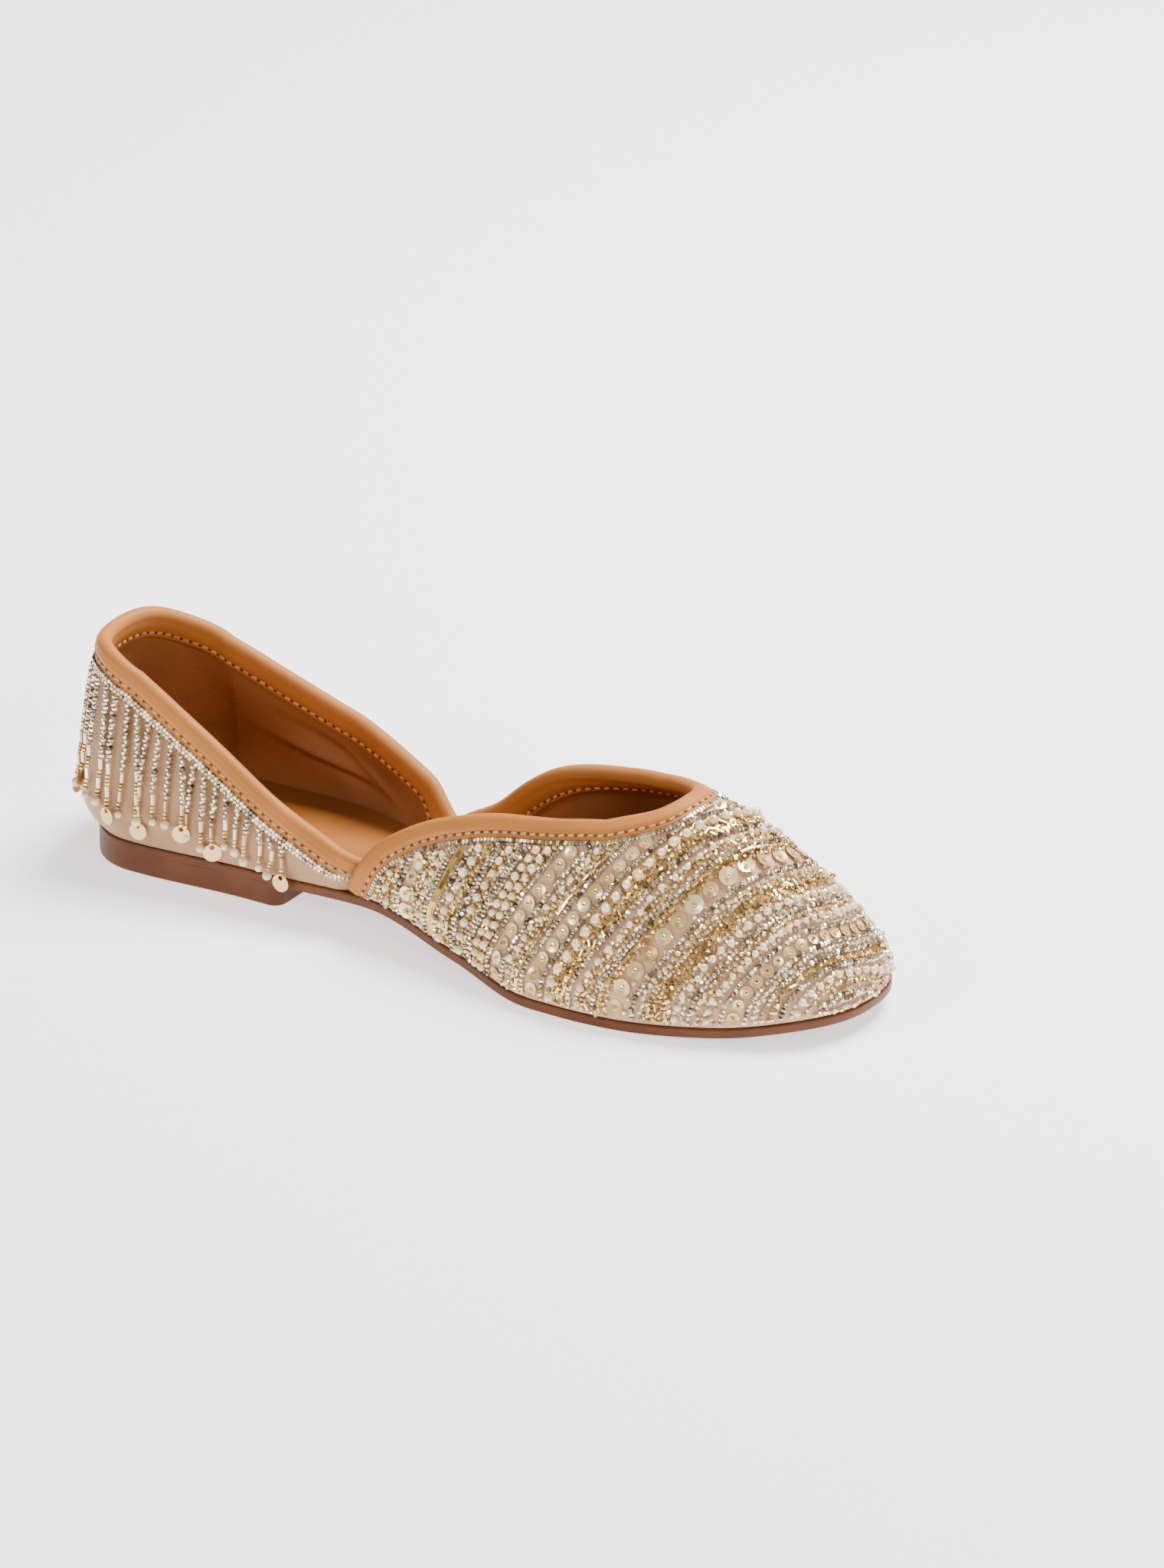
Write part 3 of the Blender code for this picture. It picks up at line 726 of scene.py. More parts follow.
# %% [markdown]
# ## Rolled bindings
# A strip of soft tan leather is folded over each topline and stitched through, which hides the raw edges of
# cloth and lining. The fold stands up as a round roll, and the line of stitches pinches the two layers
# together, so the strip swells between the roll and the stitches. One section is carried along the topline:
# down the outside, over the roll and down the inside, and back underneath.

# %% Bindings
STITCH_IN = 0.0014              # stitches above the strip's lower edge
STITCH_PITCH = 0.0029
SWELL_OUT = 0.00022             # the strip's swell between the roll and the stitches
PINCH, PINCH_WIDTH = 0.00025, 0.0006
LIP, LIP_WIDTH = 0.0003, 0.0005 # the pared lower edge
THINNING = 0.35                 # how much thinner the strip is at its lower edge, a share


def layer_path(outer_side, thick, points):
    """One leg of the section: places below the edge, and how far off the skin the strip stands there."""
    drop = BAND if outer_side else FACING
    below = np.linspace(drop, 0.0, points)
    swell_up = SWELL_OUT * np.sin(np.pi * np.clip(below / (drop - STITCH_IN), 0, 1)) ** 2
    pinch = PINCH * np.exp(-((below - drop + STITCH_IN) / PINCH_WIDTH) ** 2)
    lip = LIP * np.clip(1 - (drop - below) / LIP_WIDTH, 0, 1) ** 2
    off = GAP + thick * (1 - THINNING * below / drop) + (swell_up - pinch - lip) * (thick > 0)
    return below, (off if outer_side else -WALL - off)


def binding_section():
    """Closed loop of places below the wall's edge and off its outer face."""
    turn_over = np.linspace(0, np.pi, 19)[1:-1]
    loop = []
    for thick in (LEATHER, 0.0):
        outer_leg = np.stack(layer_path(True, thick, 14), -1)
        inner_leg = np.stack(layer_path(False, thick, 16), -1)[::-1]
        radius = WALL / 2 + GAP + thick
        roll = np.stack([-radius * np.sin(turn_over), radius * np.cos(turn_over) - WALL / 2], -1)
        path = np.concatenate([outer_leg, roll, inner_leg])
        loop.append(path if thick else path[::-1])
    return np.concatenate(loop)


def carried(distance, up, section, side, lap):
    """The section carried along a line on the skin: one row of points for each of its places."""
    down = unit(skin(*walk(distance, up, side * ROLL)) - skin(distance, up))
    normal = outward(distance, up)
    rows = []
    for below, off in section:
        if below > 0:
            there = walk(distance, up, side * below)
            there = there[0], np.maximum(there[1], 0)
            rows.append(skin(*there) + (off + lap) * outward(*there))
        else:
            rows.append(skin(distance, up) + below * down + (off + lap) * normal)
    rows = np.array(rows)
    rows[..., 2] = np.maximum(rows[..., 2], sole_top(rows[..., 0]) - 0.0002)
    return rows


def binding(name, line, side, lap):
    """A rolled binding: the closed section carried along a topline, its two ends closed by flat caps."""
    rows = carried(*line, binding_section(), side, lap)
    count, columns = rows.shape[:2]
    faces = grid_faces(count + 1, columns) % (count * columns)
    k = np.arange(count // 2 - 1)
    cap = np.stack([k, k + 1, count - 2 - k, count - 1 - k], -1) * columns
    faces = np.concatenate([faces, cap[:, ::-1], cap + columns - 1])
    return mesh_object(name, rows.reshape(-1, 3) - ORIGIN, faces, binding_leather)


vamp_roll = binding("vamp_roll", throat_line(520, 0.3), -1, 0.0)
quarter_roll = binding("quarter_roll", collar, 1, tuck_in[:, None])
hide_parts("vamp_binding")
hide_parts("quarter_binding")
print("binding faces", len(vamp_roll.data.polygons), len(quarter_roll.data.polygons))

# %% [markdown]
# ## Beads, pearls, bugles and sequins
# The beadwork is made of a few small shapes, repeated thousands of times: round glass seeds lined with
# silver or gold, glass tubes called bugles, pearls, and thin metal sequins with a hole in the middle. Each
# shape is a small template of size one. Copies are placed by whole arrays: a place, three axes and three
# sizes each. Copies of one kind are joined in one mesh, which keeps the scene light, and each bead carries
# its own tint.


# %% Bead templates
def lathe(profile, around):
    """A ring turned about the local x axis from a closed loop of (x, radius) pairs."""
    profile = np.array(profile)
    angle = 2 * np.pi * np.arange(around) / around
    x, radius = profile[:, :1], profile[:, 1:]
    points = np.stack([x + 0 * angle, radius * np.cos(angle), radius * np.sin(angle)], -1)
    faces = grid_faces(len(profile) + 1, around, wrap=True) % (len(profile) * around)
    return points.reshape(-1, 3), faces


def ball(cuts):
    """A sphere of diameter one with four-sided faces: the six faces of a cube pushed out to the radius."""
    side = np.tan(np.linspace(-1, 1, cuts + 1) * np.pi / 4)
    a, b = np.meshgrid(side, side, indexing="ij")
    sheets = [np.roll(np.stack([end + 0 * a, a, end * b], -1), k, axis=-1)
              for k in range(3) for end in (-1.0, 1.0)]
    number = (cuts + 1) ** 2
    faces = np.concatenate([grid_faces(cuts + 1, cuts + 1) + k * number for k in range(6)])
    points = unit(np.concatenate([sheet.reshape(-1, 3) for sheet in sheets])) / 2
    _, first, back_to = np.unique(np.round(points, 6), axis=0, return_index=True, return_inverse=True)
    return points[first], back_to.reshape(-1)[faces]


def coin(around):
    """A thin disc of diameter one across the local z axis, with a small hole near its top, at -y."""
    angle = 2 * np.pi * np.arange(around) / around
    rim = np.stack([np.cos(angle), np.sin(angle)], -1) / 2
    hole = rim * 0.28 + (0.0, -0.30)
    loops = [(rim, 0.02), (rim, -0.02), (hole, -0.02), (hole, 0.02)]
    points = np.array([np.concatenate([loop, np.full((around, 1), z)], -1) for loop, z in loops])
    return points.reshape(-1, 3), grid_faces(5, around, wrap=True) % (4 * around)


seed = lathe(((-0.36, 0.34), (-0.20, 0.50), (0.20, 0.50), (0.36, 0.34), (0.0, 0.14)), 6)
chip = lathe(((-0.36, 0.4), (0.0, 0.5), (0.36, 0.4), (0.0, 0.1)), 5)
bugle = lathe(((-0.5, 0.5), (0.5, 0.5), (0.5, 0.2), (-0.5, 0.2)), 6)
sequin_points, sequin_faces = lathe(((0.05, 0.5), (0.0, 0.13), (-0.035, 0.13), (0.015, 0.5)), 14)
sequin = np.roll(sequin_points, -1, axis=1), sequin_faces
TEMPLATES = {"seed": seed, "chip": chip, "bugle": bugle, "pearl": ball(4), "sequin": sequin, "coin": coin(20)}
TEMPLATES = {name: (points, faces if volume(points, faces) > 0 else faces[:, ::-1])
             for name, (points, faces) in TEMPLATES.items()}
print({name: len(faces) for name, (points, faces) in TEMPLATES.items()}, "faces each")

# %% [markdown]
# The glass is silvered or gilded inside the hole, so a bead looks like metal under a clear coat. Pearls are
# glass balls dipped in a milky lacquer: a small bright highlight over warm ivory. Each bead's tint picks a
# tone between a dull and a bright colour, as beads from one bag are never quite alike.


# %% Bead finishes
def bead_finish(name, roughness, metallic, coat, tones):
    """A glossy finish whose colour runs between tones by the piece's own tint attribute."""
    finish = bpy.data.materials.new(name)
    finish.use_nodes = True
    nodes, links = finish.node_tree.nodes, finish.node_tree.links
    shader = nodes["Principled BSDF"]
    tint = nodes.new("ShaderNodeAttribute")
    tint.attribute_name = "tint"
    ramp = nodes.new("ShaderNodeValToRGB")
    ramp.color_ramp.elements[0].color = (*tones[0], 1)
    ramp.color_ramp.elements[1].color = (*tones[-1], 1)
    if len(tones) == 3:
        ramp.color_ramp.elements.new(0.5).color = (*tones[1], 1)
    links.new(tint.outputs["Fac"], ramp.inputs["Fac"])
    links.new(ramp.outputs["Color"], shader.inputs["Base Color"])
    shader.inputs["Roughness"].default_value = roughness
    shader.inputs["Metallic"].default_value = metallic
    shader.inputs["Coat Weight"].default_value = coat
    shader.inputs["Coat Roughness"].default_value = 0.06
    return finish


# kind, name, roughness, metal, coat, tones from dull to bright
BEAD_FINISHES = (
    ("silver", "silver_glass", 0.18, 0.85, 0.8, ((0.15, 0.105, 0.06), (0.80, 0.65, 0.44), (1.0, 0.94, 0.77))),
    ("gold", "gold_glass", 0.18, 0.75, 0.8, ((0.30, 0.155, 0.035), (0.90, 0.57, 0.19), (1.0, 0.83, 0.42))),
    ("clear", "champagne_glass", 0.16, 0.5, 1.0, ((0.46, 0.29, 0.12), (0.97, 0.75, 0.44), (1.0, 0.92, 0.68))),
    ("pearl", "pearl_lacquer", 0.12, 0.08, 1.0, ((0.86, 0.62, 0.36), (1.0, 0.86, 0.61))),
    ("sequin", "sequin_film", 0.26, 0.4, 0.5, ((0.66, 0.42, 0.14), (0.92, 0.65, 0.28), (1.0, 0.84, 0.48))),
    ("coin", "brushed_gold", 0.34, 0.55, 0.2, ((0.80, 0.50, 0.18), (0.95, 0.66, 0.29))),
    # the hole's dark tones are painted shade: the shadow inside each awl hole
    ("hole", "pricked_hole", 0.8, 0.0, 0.0, ((0.08, 0.024, 0.006), (0.13, 0.042, 0.011))),
    ("thread", "waxed_thread", 0.6, 0.0, 0.0, ((0.50, 0.22, 0.065), (0.68, 0.34, 0.12))),
)
FINISHES = {kind: bead_finish(*look) for kind, *look in BEAD_FINISHES}
store = {}


def axes_of(tangent, normal, turn=0.0, tilt=0.0, roll=0.0):
    """Three axes for each bead: its own axis in the cloth's plane, turned and tilted, its side, its top; roll
    spins it about its own axis, so that its facets catch the light differently from its neighbours'."""
    tangent = unit(tangent - (tangent * normal).sum(-1, keepdims=True) * normal)
    aside = np.cross(normal, tangent)
    turn, tilt, roll = (np.broadcast_to(value, len(tangent))[:, None] for value in (turn, tilt, roll))
    own = unit(tangent * np.cos(turn) + aside * np.sin(turn) + normal * tilt)
    side = unit(np.cross(normal, own))
    top = np.cross(own, side)
    cos, sin = np.cos(roll), np.sin(roll)
    return np.stack([own, side * cos + top * sin, top * cos - side * sin], 1)


def add(piece, shape, finish, places, axes, sizes):
    """Remember copies of a shape for a piece: places (n, 3), axes (n, 3, 3), sizes along those axes."""
    sizes = np.broadcast_to(sizes, (len(places), 3))
    store.setdefault((piece, shape, finish), []).append((places, axes, sizes))


def joined_copies(piece, shape, finish, batches):
    """One mesh of all copies: each template point is scaled, turned by the copy's axes and moved."""
    places, axes, sizes = (np.concatenate([batch[k] for batch in batches]) for k in range(3))
    points, faces = TEMPLATES[shape]
    spread = (places[:, None] + np.einsum("pk,nk,nkx->npx", points, sizes, axes)).reshape(-1, 3)
    faces = (faces + np.arange(len(places))[:, None, None] * len(points)).reshape(-1, 4)
    made = mesh_object(piece, spread - ORIGIN, faces, FINISHES[finish])
    tint = made.data.attributes.new("tint", "FLOAT", "POINT")
    tone = np.clip(rng.normal(0.5, 0.26, len(places)), 0, 1)
    tint.data.foreach_set("value", np.repeat(tone, len(points)).astype(np.float32))
    if shape in ("bugle", "seed", "chip"):
        made.data.shade_flat()
    return made


def read(where, run, rows):
    """Rows of three numbers read off at places along a run."""
    return np.stack([np.interp(where, run, rows[:, k]) for k in range(3)], -1)


def spaced(points, normals, pitch, start=0.5):
    """Even places along a line in space: points, tangents and normals, about a pitch apart."""
    run = run_along(points)
    count = max(int(round(run[-1] / pitch)), 1)
    at = (np.arange(count) + start) * run[-1] / count
    step = min(0.0004, run[-1] / 4)
    ahead, behind = np.minimum(at + step, run[-1]), np.maximum(at - step, 0)
    tangent = read(ahead, run, points) - read(behind, run, points)
    return read(at, run, points), unit(tangent), unit(read(at, run, normals))


# %% [markdown]
# ## Stitches and the bead rows along the bindings
# A running stitch holds each binding. A stitch is a short, fat strand that sinks into the leather at both
# ends, where the awl has pricked a hole; a small dark chip on each hole is painted shade for the shadow in
# it.
# Right below the outer edge a row of silver-lined seeds covers the join between leather and cloth; on the
# counter it is two rows wide, because the fringe hangs from it.


# %% Stitches and edging
def offset_line(line, side, below, off, lap=0.0):
    """A line that runs along a topline, below it and off the skin: its points and normals."""
    there = walk(*line, side * below)
    keep = there[1] > 0.004
    there = there[0][keep], there[1][keep]
    normal = outward(*there)
    lap = np.broadcast_to(lap, keep.shape)[keep][:, None]
    return skin(*there) + (off + lap) * normal, normal


throat = throat_line(900, 0.2)
collar_fine = collar_line(900)
tuck = tucked(collar_fine[0])
STITCH = 0.0024, 0.00080, 0.00065
HOLE_SHADE_SIZE = 0.0009, 0.0008, 0.0003
STITCH_LEVEL = GAP + 0.62 * LEATHER
# below the edge, off the skin, which way the stitches look: the outer leg and the inner leg
SEAMS = (BAND - STITCH_IN, STITCH_LEVEL, 1), (FACING - STITCH_IN, -WALL - STITCH_LEVEL, -1)
for line, side, lap in ((throat, -1, 0.0), (collar_fine, 1, tuck)):
    for below, off, flip in SEAMS:
        seam = offset_line(line, side, below, off, lap)
        places, tangents, normals = spaced(*seam, STITCH_PITCH)
        add("stitches", "seed", "thread", places, axes_of(tangents, normals * flip, 0.10), STITCH)
        # a dark chip between the stitches, at each stitch end: painted shade for the shadow in the awl hole
        places, tangents, normals = spaced(*seam, STITCH_PITCH, 0.0)
        places += normals * flip * 0.0001
        add("stitch_hole_shade", "chip", "hole", places, axes_of(tangents, normals), HOLE_SHADE_SIZE)

EDGE_SEED, EDGE_PACE = 0.0015, 0.00115
edge_row = offset_line(throat, -1, BAND + 0.0006, EDGE_SEED * 0.45)
places, tangents, normals = spaced(*edge_row, EDGE_PACE)
turned_by = rng.normal(0, 0.12, len(places))
add("throat_edging", "seed", "silver", places, axes_of(tangents, normals, turned_by), EDGE_SEED)
COLLAR_PACE = 0.00125
for below, size in ((BAND + 0.0006, 0.0016), (BAND + 0.0018, 0.0015)):
    places, tangents, normals = spaced(*offset_line(collar_fine, 1, below, size * 0.5, tuck), COLLAR_PACE)
    turned_by = rng.normal(0.5, 0.3, len(places))
    add("collar_edging", "seed", "silver", places, axes_of(tangents, normals, turned_by), size)

# %% [markdown]
# ## The vamp's beadwork
# The pattern is a set of bands that arch towards the toe. Their edges are lines of equal level: a level is
# the place along the shoe plus a share that grows towards the sides, so that a line lags behind at the
# ridge and runs ahead down the sides. A table gives each row its level, what it is made of, its size and
# its pace. Rows are traced on the skin by reading, in each column, how far up a level lies. Near the waists
# a level climbs straight up, so there the row is read off the other way: in each row of the grid, which
# column it crosses. What is left between the silver lines is filled with small chips of gold and champagne
# glass at all angles, and the toe's tip, past the last level, gets short rows along the sole's edge.

# %% Levels and rows
# level in mm, kind, size in mm, pace in mm, sway: degrees for bugles, mm for the rest
ROWS = (
    (106.0, "clear", 1.5, 1.6, 0.3), (107.8, "silver", 1.5, 1.25, 0.2), (109.5, "gold", 1.4, 1.6, 0.3),
    (111.2, "clear", 1.5, 1.6, 0.3), (113.0, "pearl", 1.9, 3.4, 0.3), (114.8, "silver", 1.5, 1.25, 0.2),
    (116.4, "clear", 1.5, 1.6, 0.3), (118.0, "gold", 1.4, 1.6, 0.3), (119.8, "clear", 1.5, 1.7, 0.4),
    (121.6, "pearl", 2.0, 3.9, 0.3), (123.6, "silver", 1.5, 1.25, 0.1), (125.6, "clear", 1.5, 1.6, 0.3),
    (127.4, "gold", 1.4, 1.6, 0.3), (129.2, "silver", 1.5, 1.25, 0.1), (131.4, "pearl", 2.1, 3.7, 0.3),
    (133.3, "gold", 1.3, 1.5, 0.3), (134.6, "clear", 1.4, 1.5, 0.2), (135.9, "silver", 1.5, 1.25, 0),
    (138.7, "spangle", 4.4, 5.2, 0.2), (141.5, "gold", 1.4, 1.5, 0.2), (142.9, "clear", 1.4, 1.5, 0.2),
    (144.9, "pearl", 1.8, 3.1, 0.2), (146.5, "clear", 1.3, 1.4, 0.1), (147.6, "silver", 1.5, 1.25, 0),
    (148.8, "cord", 0.9, 2.0, 0), (149.8, "cord", 0.9, 2.0, 0), (150.8, "cord", 0.9, 2.0, 0),
    (152.4, "silver", 1.5, 1.25, 0), (154.9, "pearl", 2.5, 3.9, 0.1), (157.4, "bugle", 2.4, 1.8, 85),
    (159.4, "silver", 1.5, 1.25, 0), (160.6, "silver", 1.5, 1.25, 0), (163.2, "pearl", 2.3, 4.1, 0.2),
    (165.2, "gold", 1.3, 2.3, 0.4), (166.7, "silver", 1.5, 1.25, 0), (167.9, "silver", 1.5, 1.25, 0),
    (170.6, "pearl", 2.3, 3.05, 0), (173.6, "pearl", 2.3, 3.05, 0), (176.1, "silver", 1.5, 1.25, 0),
    (179.4, "spangle", 3.8, 4.5, 0.1), (182.6, "silver", 1.5, 1.25, 0), (184.9, "pearl", 1.8, 3.4, 0.3),
    (186.7, "gold", 1.3, 1.8, 0.4), (188.3, "bugle", 2.2, 2.3, 6), (189.8, "silver", 1.5, 1.25, 0),
    (192.7, "spangle", 3.9, 4.7, 0.1), (195.3, "silver", 1.5, 1.25, 0), (198.0, "capped", 2.6, 4.2, 0.1),
    (200.0, "bugle", 2.0, 1.75, 85), (201.3, "bugle", 2.0, 1.75, 85), (202.6, "silver", 1.5, 1.25, 0),
    (204.9, "pearl", 2.0, 4.4, 0.3), (206.4, "bugle", 1.9, 3.6, 85), (208.2, "silver", 1.5, 1.25, 0),
    (209.3, "bugle", 2.2, 2.3, 5), (212.7, "spangle", 4.9, 6.0, 0.1), (214.9, "clear", 1.3, 4.0, 0.6),
    (216.1, "silver", 1.5, 1.25, 0), (217.6, "clear", 1.5, 1.9, 0.3), (219.1, "gold", 1.3, 1.2, 0),
    (220.6, "bugle", 2.2, 1.75, 85), (222.0, "bugle", 2.2, 1.75, 85), (224.0, "pearl", 2.1, 3.2, 0.2),
    (226.2, "silver", 1.5, 1.25, 0), (227.5, "gold", 1.3, 1.5, 0.2), (229.1, "pearl", 2.0, 2.8, 0.1),
    (231.3, "silver", 1.5, 1.25, 0), (233.1, "spangle", 3.4, 4.0, 0.1), (234.8, "silver", 1.5, 1.25, 0),
    (235.9, "clear", 1.4, 1.7, 0.3), (237.0, "silver", 1.5, 1.25, 0), (238.2, "bugle", 2.0, 1.75, 85),
    (239.4, "silver", 1.5, 1.25, 0), (241.0, "pearl", 2.1, 3.2, 0.2), (242.2, "gold", 1.3, 1.6, 0.2),
    (243.3, "silver", 1.5, 1.25, 0),
)
LAG, LAG_REACH, LAG_TILT = 22.2, 40.0, 4.8
RIDGE_Y, LAG_MIDDLE = 8.0, 170.0


def level_of(points):
    """Level of a point in mm: its place along plus a share growing with the distance from the ridge."""
    x, y = points[..., 0] / MM, points[..., 1] / MM
    lag = np.abs((y - RIDGE_Y) / LAG_REACH) ** 1.5
    return x + LAG * lag - LAG_TILT * (x - LAG_MIDDLE) / LAG_REACH * lag


BAND_CLEAR = 0.0014             # the rows end this far below the binding
FOOT_CLEAR = 0.0009             # and this far above the sole
SIDE_CLEAR = 0.002              # and this far past the waists
waists = edge_distance(WAIST[0], False) - SIDE_CLEAR, edge_distance(WAIST[1], True) - PERIMETER + SIDE_CLEAR
columns = np.linspace(*waists, 1500)
under_band = walk(*throat, -(BAND + BAND_CLEAR))
limit = np.interp(-columns, -under_band[0], under_band[1])
foot = up_of(along_of(columns), FOOT_CLEAR)
climb = foot + (limit - foot) * np.linspace(0, 1, 160)[:, None]
field = level_of(skin(columns, climb))
field = np.maximum.accumulate(field[::-1], axis=0)[::-1]
open_columns = limit > foot + 0.01
CORNER_COLUMNS, CORNER_LEVEL = 300, 140.0
print("levels on the vamp", field.min().round(1), "to", field.max().round(1))


def corner_runs(level):
    """Runs of a level line near the waists, where it climbs steeply: one place in each row of the grid."""
    runs = []
    for turn in (1, -1):
        free = np.flatnonzero(open_columns[::turn][:CORNER_COLUMNS])
        line, ups = columns[::turn][free], climb[:, ::turn][:, free]
        levels = np.maximum.accumulate(field[:, ::turn][:, free], axis=1)
        passed = (levels < level).sum(1)
        i = np.flatnonzero((passed > 0) & (passed < len(free)))
        if len(i) < 4:
            continue
        k = passed[i]
        share = (level - levels[i, k - 1]) / (levels[i, k] - levels[i, k - 1])
        runs.append((line[k - 1] + (line[k] - line[k - 1]) * share,
                     ups[i, k - 1] + (ups[i, k] - ups[i, k - 1]) * share))
    return runs


def traced(level):
    """Runs of a level line on the skin: its columns and how far up it lies there. A run that ends low down
    goes on straight to the sole."""
    if level < CORNER_LEVEL:
        return corner_runs(level)
    passed = (field >= level).sum(0)
    found = (passed > 0) & (passed < len(field)) & open_columns
    low_row = np.clip(passed - 1, 0, len(field) - 2)
    k = np.arange(len(columns))
    a, b = field[low_row, k], field[low_row + 1, k]
    share = np.clip((a - level) / np.maximum(a - b, 1e-9), 0, 1)
    up = climb[low_row, k] + (climb[low_row + 1, k] - climb[low_row, k]) * share
    cuts = np.flatnonzero(np.diff(found.astype(int))) + 1
    parts = [part for part in np.split(k, cuts) if found[part[0]] and len(part) > 6]
    runs = []
    for part in parts:
        ends = []
        for end in (part[0], part[-1]):
            count = 24 if up[end] < 0.6 * limit[end] else 0
            below = np.linspace(foot[end], up[end], count, endpoint=False)
            ends.append((np.full(count, columns[end]), below))
        first, last = ends
        runs.append((np.concatenate([first[0], columns[part], last[0][::-1]]),
                     np.concatenate([first[1], up[part], last[1][::-1]])))
    return runs


GOLD_SHARE = 0.58
TUBE = 0.00105                  # how thick a bugle is


def bead_row(runs, kind, size, pace, sway):
    """One row: its kind decides the shape and finish; single beads stray a little, as hand work does."""
    for distance, up in runs:
        places, tangents, normals = spaced(skin(distance, up), outward(distance, up), pace * MM)
        count = len(places)
        aside = np.cross(normals, tangents)
        stray, lean = rng.normal(0, 1, (2, count, 1))
        scale = size * MM * (1 + 0.05 * rng.normal(0, 1, (count, 1)))
        if kind in ("silver", "gold", "clear"):
            spot = places + aside * stray * (0.08 + sway) * MM + normals * scale * 0.42
            turned_by = lean[:, 0] * (0.14 + 0.9 * (sway > 0))
            roll, tilt = rng.uniform(0, 1, count), rng.normal(0, 0.12, count)
            add(kind + "_seeds", "seed", kind, spot, axes_of(tangents, normals, turned_by, tilt, roll), scale)
        if kind == "filler":
            spot = places + aside * stray * sway * MM + normals * (0.35 + 0.12 * lean ** 2) * MM
            turned_by, roll = rng.uniform(0, np.pi, (2, count))
            colour = "gold" if rng.random() < GOLD_SHARE else "clear"
            axes = axes_of(tangents, normals, turned_by, 0, roll)
            add(colour + "_filling", "chip", colour, spot, axes, scale)
        if kind == "cord":
            spot = places + normals * scale * 0.4
            add("gold_cord", "bugle", "gold", spot, axes_of(tangents, normals), scale * (2.3, 1, 1))
        if kind == "bugle":
            turned_by = np.radians(sway) * rng.uniform(-1, 1, count)
            spot = places + aside * lean * 0.30 * MM + normals * (0.5 + 0.15 * stray ** 2) * MM
            axes = axes_of(tangents, normals, turned_by, 0.1 * lean[:, 0])
            add("bugles", "bugle", "gold", spot, axes, scale * (1, 0, 0) + np.array((0, TUBE, TUBE)))
        if kind in ("pearl", "capped"):
            raise_by = scale * 0.46 + (0.35 * MM if kind == "capped" else 0)
            spot = places + aside * stray * sway * MM + normals * raise_by
            add("pearls", "pearl", "pearl", spot, axes_of(tangents, normals), scale)
        if kind in ("spangle", "capped"):
            facing = unit(normals + 0.13 * (aside * stray + tangents * lean))
            wide = scale * (1.45 if kind == "capped" else 1)
            add("sequins", "sequin", "sequin", places + normals * 0.45 * MM, axes_of(tangents, facing), wide)
        if kind == "spangle":
            upright_axes = np.stack([normals, aside, tangents], 1)
            add("clear_seeds", "seed", "clear", places + normals * 0.85 * MM, upright_axes, 1.3 * MM)


for level, *row in ROWS:
    bead_row(traced(level), *row)
lines = np.array([level for level, kind, *_ in ROWS if kind in ("silver", "cord")])
spangles = np.array([level for level, kind, *_ in ROWS if kind == "spangle"])
fillers = [level for level in np.arange(99.0, 242.8, 1.2)
           if np.abs(lines - level).min() > 1.0 and np.abs(spangles - level).min() > 1.9]
for level in fillers:
    bead_row(traced(level), "filler", 1.38, 1.40, 0.35)
TIP_LEVEL, TIP_STEP = 242.6, 5
tip_rows = [np.flatnonzero(row > TIP_LEVEL) for row in field[::TIP_STEP]]
tip_runs = [(columns[k], climb[i * TIP_STEP, k]) for i, k in enumerate(tip_rows) if len(k) > 12]
for number, run in enumerate(tip_runs):
    kind, sway = ("silver", 0) if number % 3 == 1 else ("filler", 0.25)
    bead_row([run], kind, 1.45, 1.30, sway)
print("rows", len(ROWS), "and", len(fillers), "rows of filling")

# %% [markdown]
# ## The fringe
# Strings of beads hang from the edging all round the counter, long at the back and short at the waist. The
# upper part of a string is silver-lined seeds; below come bugles with gold seeds between them; a pearl or a
# flat gold disc ends it. The strings lie on the satin while it bulges out and hang free below the bulge.

# %% Strings of the fringe
STRING_DROP, STRING_REACH, FRINGE_PITCH = 0.0370, 0.0900, 0.0037
# away from the back as a share of STRING_REACH, length as a share of STRING_DROP
STRINGS = ((0.00, 1.00), (0.35, 0.85), (0.70, 0.55), (1.00, 0.25))
PEARL, DISC, BUGLE = 0.0028, 0.0052, 0.0032
FRINGE_SEED, SEED_PACE, ZIGZAG = 0.0016, 0.00115, 0.00022
FRINGE_GOLD, GOLD_PACE = 0.00135, 0.0011
FRINGE_TUBE = 0.00125


def hanging(distance, heights, off):
    """Points of a string: off the skin at each height; under the wall's bulge they hang straight down."""
    along = along_of(distance)
    held = np.maximum(heights, SWELL_HEIGHT)
    up = up_of(along, held)
    point = skin(distance, up) + off * outward(distance, up)
    point[:, 2] -= held - heights
    return point


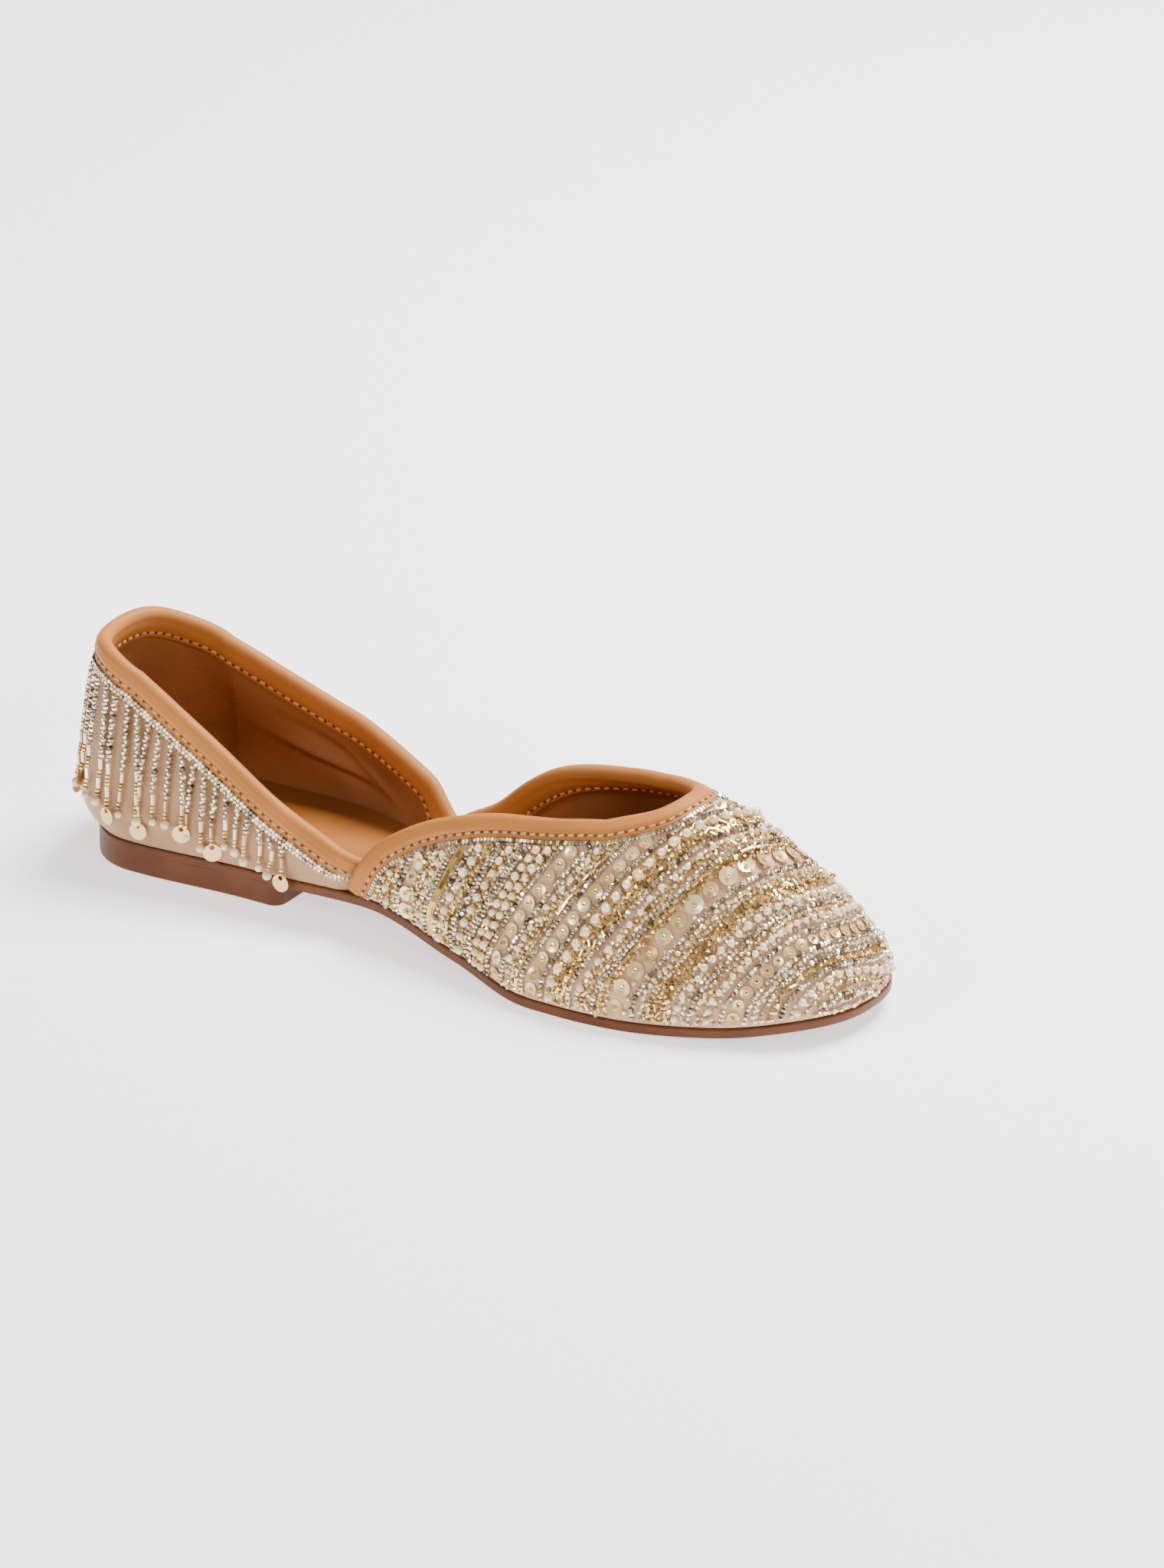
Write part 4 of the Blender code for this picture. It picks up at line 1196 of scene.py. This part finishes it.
def string(place, number):
    """One string: a path down the wall, cut into seeds, then bugles and gold seeds, then its end piece."""
    head_distance, head_up = under_edging
    up = np.interp(place, head_distance, head_up)
    top = crest(along_of(place)) * (1 - (1 - up) ** SHOULDER)
    drop = STRING_DROP * curve(STRINGS, 1, abs(place) / STRING_REACH) * rng.uniform(0.90, 1.08)
    down = np.linspace(0, drop + DISC, 120)
    bend = rng.normal(0, 0.0006) * np.sin(down / drop * np.pi * rng.uniform(0.6, 1.3))
    sway = bend + rng.normal(0, 0.03) * down
    points = hanging(place + sway, top - down, 0.0011 + 0.0004 * (number % 2))
    normals = unit(outward(np.full(1, place), np.full(1, float(up))) * (1, 1, 0))
    run = run_along(points)

    def cast(where):
        """Places on the string and the string's direction there."""
        ahead, behind = read(where + 0.0003, run, points), read(where - 0.0003, run, points)
        return read(where, run, points), unit(ahead - behind)

    tail = drop * 0.62 if drop > 0.016 else drop * 0.35
    seeds = np.arange(0.0004, tail, SEED_PACE)
    bugles, golds = [], []
    at = seeds[-1] + 0.0010
    while at < drop - BUGLE:
        bugles.append(at + BUGLE / 2)
        at += BUGLE + 0.0002
        for _ in range(2 + number % 2):
            golds.append(at + 0.0005)
            at += GOLD_PACE
    spots, tangents = cast(seeds)
    normals_at = np.broadcast_to(normals, spots.shape)
    zigzag = np.cross(normals_at, tangents) * (ZIGZAG * np.where(np.arange(len(seeds)) % 2, 1, -1))[:, None]
    axes = axes_of(tangents, normals_at, rng.normal(0, 0.35, len(spots)))
    add("fringe_seeds", "seed", "silver", spots + zigzag, axes, FRINGE_SEED)
    for piece, shape, finish, where, size in (
            ("fringe_bugles", "bugle", "clear", bugles, (BUGLE, FRINGE_TUBE, FRINGE_TUBE)),
            ("fringe_gold", "seed", "gold", golds, FRINGE_GOLD)):
        if where:
            spots, tangents = cast(np.array(where))
            add(piece, shape, finish, spots, axes_of(tangents, np.broadcast_to(normals, spots.shape)), size)
    end = np.array([at + 0.0002])
    short = drop < 0.012 and number % 2
    if number % 3 or short:
        spots, tangents = cast(end + PEARL / 2)
        size = PEARL * (0.8 if number % 3 == 2 and not short else 1)
        add("fringe_pearls", "pearl", "pearl", spots, axes_of(tangents, normals), size)
    else:
        spots, tangents = cast(end + DISC * 0.36)
        yaw = rng.normal(0, 0.5)
        facing = unit(normals * np.cos(yaw) + np.cross(normals, tangents) * np.sin(yaw))
        axes = np.stack([np.cross(tangents, facing), tangents, facing], 1)
        add("fringe_discs", "coin", "coin", spots + facing * 0.0003, axes, DISC)


under_edging = walk(*collar_fine, BAND + 0.0024)
places = np.arange(-STRING_REACH, STRING_REACH + 0.001, FRINGE_PITCH)
for number, place in enumerate(places):
    string(place, number)
print("strings", len(places))

# %% Join the copies
for (piece, shape, finish), batches in store.items():
    made = joined_copies(piece, shape, finish, batches)
    copies = len(made.data.polygons) // len(TEMPLATES[shape][1])
    print(piece, copies, "copies,", 2 * len(made.data.polygons), "triangles")
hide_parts("bead_fringe")
